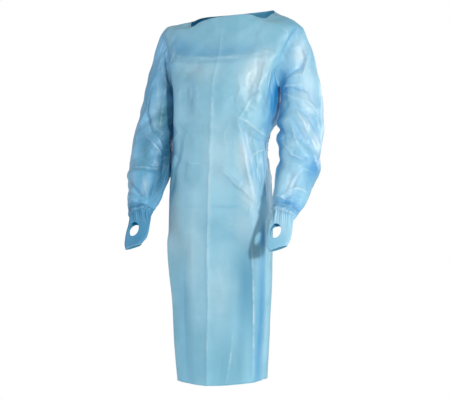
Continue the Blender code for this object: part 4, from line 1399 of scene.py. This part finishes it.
def weldTree():
    sizes = ("Mark length", "Mark width", "Mark height")
    tree, source, path = pathTree("weldMarks", ("Mark spacing", *sizes, "Film"))
    inputs = {"Curve": path, "Length": source["Mark spacing"]}
    steps = addNode(tree, "GeometryNodeResampleCurve", inputs, mode="LENGTH")
    inputs = {axis: source[label] for axis, label in zip("XYZ", sizes)}
    size = addNode(tree, "ShaderNodeCombineXYZ", inputs)
    mark = addNode(tree, "GeometryNodeMeshCube", {"Size": size})
    outward = addNode(
        tree, "GeometryNodeInputNamedAttribute", {"Name": "filmNormal"}, data_type="FLOAT_VECTOR"
    )
    turned = {"Vector": addNode(tree, "GeometryNodeInputTangent")}
    turned = addNode(tree, "FunctionNodeAlignRotationToVector", turned, axis="X")
    turned = addNode(
        tree,
        "FunctionNodeAlignRotationToVector",
        {"Rotation": turned, "Vector": outward},
        axis="Z",
        pivot_axis="X",
    )
    inputs = {"Points": steps, "Instance": mark, "Rotation": turned}
    return closeTree(tree, source, addNode(tree, "GeometryNodeInstanceOnPoints", inputs))


def alongPaths(name, tree, paths, inputs):
    places, edges, normals = [], [], []
    for points, outward, closed in paths:
        first = len(places)
        places += points.tolist()
        normals += outward.tolist()
        edges += [(first + step, first + step + 1) for step in range(len(points) - 1)]
        if closed:
            edges.append((first + len(points) - 1, first))
    mesh = bpy.data.meshes.new(name)
    mesh.from_pydata(places, edges, [])
    attribute = mesh.attributes.new("filmNormal", "FLOAT_VECTOR", "POINT")
    attribute.data.foreach_set("vector", np.array(normals, np.float32).ravel())
    piece = addObject(name, mesh)
    nodes = piece.modifiers.new("alongPath", "NODES")
    nodes.node_group = tree
    for socket in tree.interface.items_tree:
        if socket.in_out == "INPUT" and socket.name in inputs:
            nodes[socket.identifier] = inputs[socket.name]
    settleMesh(piece)
    return finishPiece(piece, [])


# the rims' paler film is a painted highlight
rimSizes = {"Rim radius": 0.0008, "Film": filmMaterials["rim"]}
weldSizes = {  # the real marks are about 1 mm apart, drawn coarser so that they show
    "Mark spacing": 0.0060,
    "Mark length": 0.0038,
    "Mark width": 0.0011,
    "Mark height": 0.0006,
    "Film": filmMaterials["sleeve"],
}
seamRadius = 0.0009
weldInset = 2  # grid columns or rows between a seam and its row of marks
weldLift = 0.0004
underSleeve = sleeveGrid["sides"] // 2
underarmRow = bodyGrid["skirtRows"] + bodyGrid["waistRows"] - 6


def gridPath(surface, row=None, column=None, lift=0.0, closed=False, until=None):
    points, normals = surface
    pick = (row, slice(None)) if row is not None else (slice(until), column)
    return points[pick] + normals[pick] * lift, normals[pick], closed


rims, welds = rimTree(), weldTree()
panels = [front, backs[1], backs[-1]]
edgePaths = [gridPath(panel, row=-1) for panel in panels]
edgePaths += [gridPath(panel, row=0) for panel in panels]
edgePaths.append(gridPath(backs[-1], column=-1))
alongPaths("bodyRims", rims, edgePaths, rimSizes)
cuffPaths = [gridPath(cuffs[side], row=-1, closed=True) for side in (1, -1)]
alongPaths("cuffRims", rims, cuffPaths, rimSizes)
sidePaths = [
    gridPath(front, column=column, lift=weldLift, until=underarmRow)
    for column in (weldInset, -1 - weldInset)
]
alongPaths("bodyWelds", welds, sidePaths, weldSizes)
sleevePaths = [
    gridPath(sleeves[side], row=weldInset, lift=weldLift, closed=True) for side in (1, -1)
]
sleevePaths += [gridPath(sleeves[side], column=underSleeve, lift=weldLift) for side in (1, -1)]
alongPaths("sleeveWelds", welds, sleevePaths, weldSizes)
# the -X seam takes the darker copy of the film, as painted shade
for side, kind, label in ((1, "sleeve", "Left"), (-1, "shadeSideSleeve", "Right")):
    seamSizes = {"Rim radius": seamRadius, "Film": filmMaterials[kind]}
    seamPath = gridPath(sleeves[side], row=0, closed=True)
    alongPaths("armholeSeam" + label, rims, [seamPath], seamSizes)
print("rims and welds made")

# Plain pale floor and soft studio light. The camera stands where the photo was taken from.
studio = {
    "cameraTurn": math.radians(24),
    "cameraAway": 4.47,
    "cameraAside": -0.024,
    "cameraHeight": -0.562,
    "lens": 110,
    "aimHeight": -0.5,
    "floorHeight": -1.45,
    "floorRadius": 1.55,
    "floorSides": 96,
    "floorColour": "#f4f5f5",
    "floorGlow": 0.22,
    "skyColour": "#ffffff",
    "skyStrength": 0.36,
}
Lamp = namedtuple("Lamp", "name turn rise away size watts colour")
lamps = [Lamp(*row) for row in (
    ("keySoftbox", 46, 4, 2.4, 0.16, 30, "#ffffff"),
    ("topSoftbox", 66, 38, 3.4, 1.2, 22, "#ffffff"),
    ("leftSoftbox", -58, 14, 3.4, 1.3, 24, "#cfe8ff"),
    ("rearSoftbox", 150, 10, 3.4, 1.2, 26, "#ffffff"),
    ("backSoftbox", -160, 12, 3.6, 1.2, 22, "#ffffff"),
)]


def placeAround(turn, rise, away, height):
    turn, rise = math.radians(turn), math.radians(rise)
    flat = away * math.cos(rise)
    return (flat * math.sin(turn), -flat * math.cos(turn), height + away * math.sin(rise))


def addCamera():
    data = bpy.data.cameras.new("camera")
    data.lens = studio["lens"]
    data.sensor_width = 36
    data.clip_end = 100
    camera = addObject("camera", data)
    turn = studio["cameraTurn"]
    aside, away = studio["cameraAside"], studio["cameraAway"]
    camera.location = (
        aside * math.cos(turn) + away * math.sin(turn),
        aside * math.sin(turn) - away * math.cos(turn),
        studio["cameraHeight"],
    )
    camera.rotation_euler = (math.pi / 2, 0, turn)
    bpy.context.scene.camera = camera


def addLamps():
    middle = np.array([0, 0, studio["aimHeight"]])
    for lamp in lamps:
        data = bpy.data.lights.new(lamp.name, "AREA")
        data.shape = "DISK"
        data.size = lamp.size
        data.energy = lamp.watts
        data.color = linearColour(lamp.colour)[:3]
        light = addObject(lamp.name, data)
        spot = np.array(placeAround(lamp.turn, lamp.rise, lamp.away, studio["aimHeight"]))
        light.location = spot
        toMiddle = middle - spot
        tilt = math.atan2(math.hypot(*toMiddle[:2]), -toMiddle[2])
        light.rotation_euler = (tilt, 0, math.atan2(toMiddle[1], toMiddle[0]) - math.pi / 2)


def addFloor():
    turns = ringTurns(studio["floorSides"])
    radius, height = studio["floorRadius"], studio["floorHeight"]
    rim = [(radius * math.cos(turn), radius * math.sin(turn), height) for turn in turns]
    mesh = bpy.data.meshes.new("floor")
    mesh.from_pydata(rim, [], [tuple(range(len(rim)))])
    floor = addObject("floor", mesh)
    material = bpy.data.materials.new("paintedStudioFloor")
    material.use_nodes = True
    surface = {
        "Base Color": linearColour(studio["floorColour"]),
        "Roughness": 0.8,
        "Emission Color": (1, 1, 1, 1),
        "Emission Strength": studio["floorGlow"],
    }
    tree = material.node_tree
    setInputs(tree, tree.nodes["Principled BSDF"], surface)
    mesh.materials.append(material)


def addSky():
    world = bpy.data.worlds.new("studioSky")
    bpy.context.scene.world = world
    world.use_nodes = True
    tree = world.node_tree
    tree.nodes.clear()
    colour = linearColour(studio["skyColour"])
    seen, lit = (
        addNode(tree, "ShaderNodeBackground", {"Color": colour, "Strength": strength})
        for strength in (1, studio["skyStrength"])
    )
    fromCamera = addNode(tree, "ShaderNodeLightPath", output="Is Camera Ray")
    both = addNode(tree, "ShaderNodeMixShader", {0: fromCamera, 1: lit, 2: seen})
    addNode(tree, "ShaderNodeOutputWorld", {"Surface": both})


addCamera()
addLamps()
addFloor()
addSky()
bpy.context.scene.view_settings.view_transform = "Standard"
print("studio set")
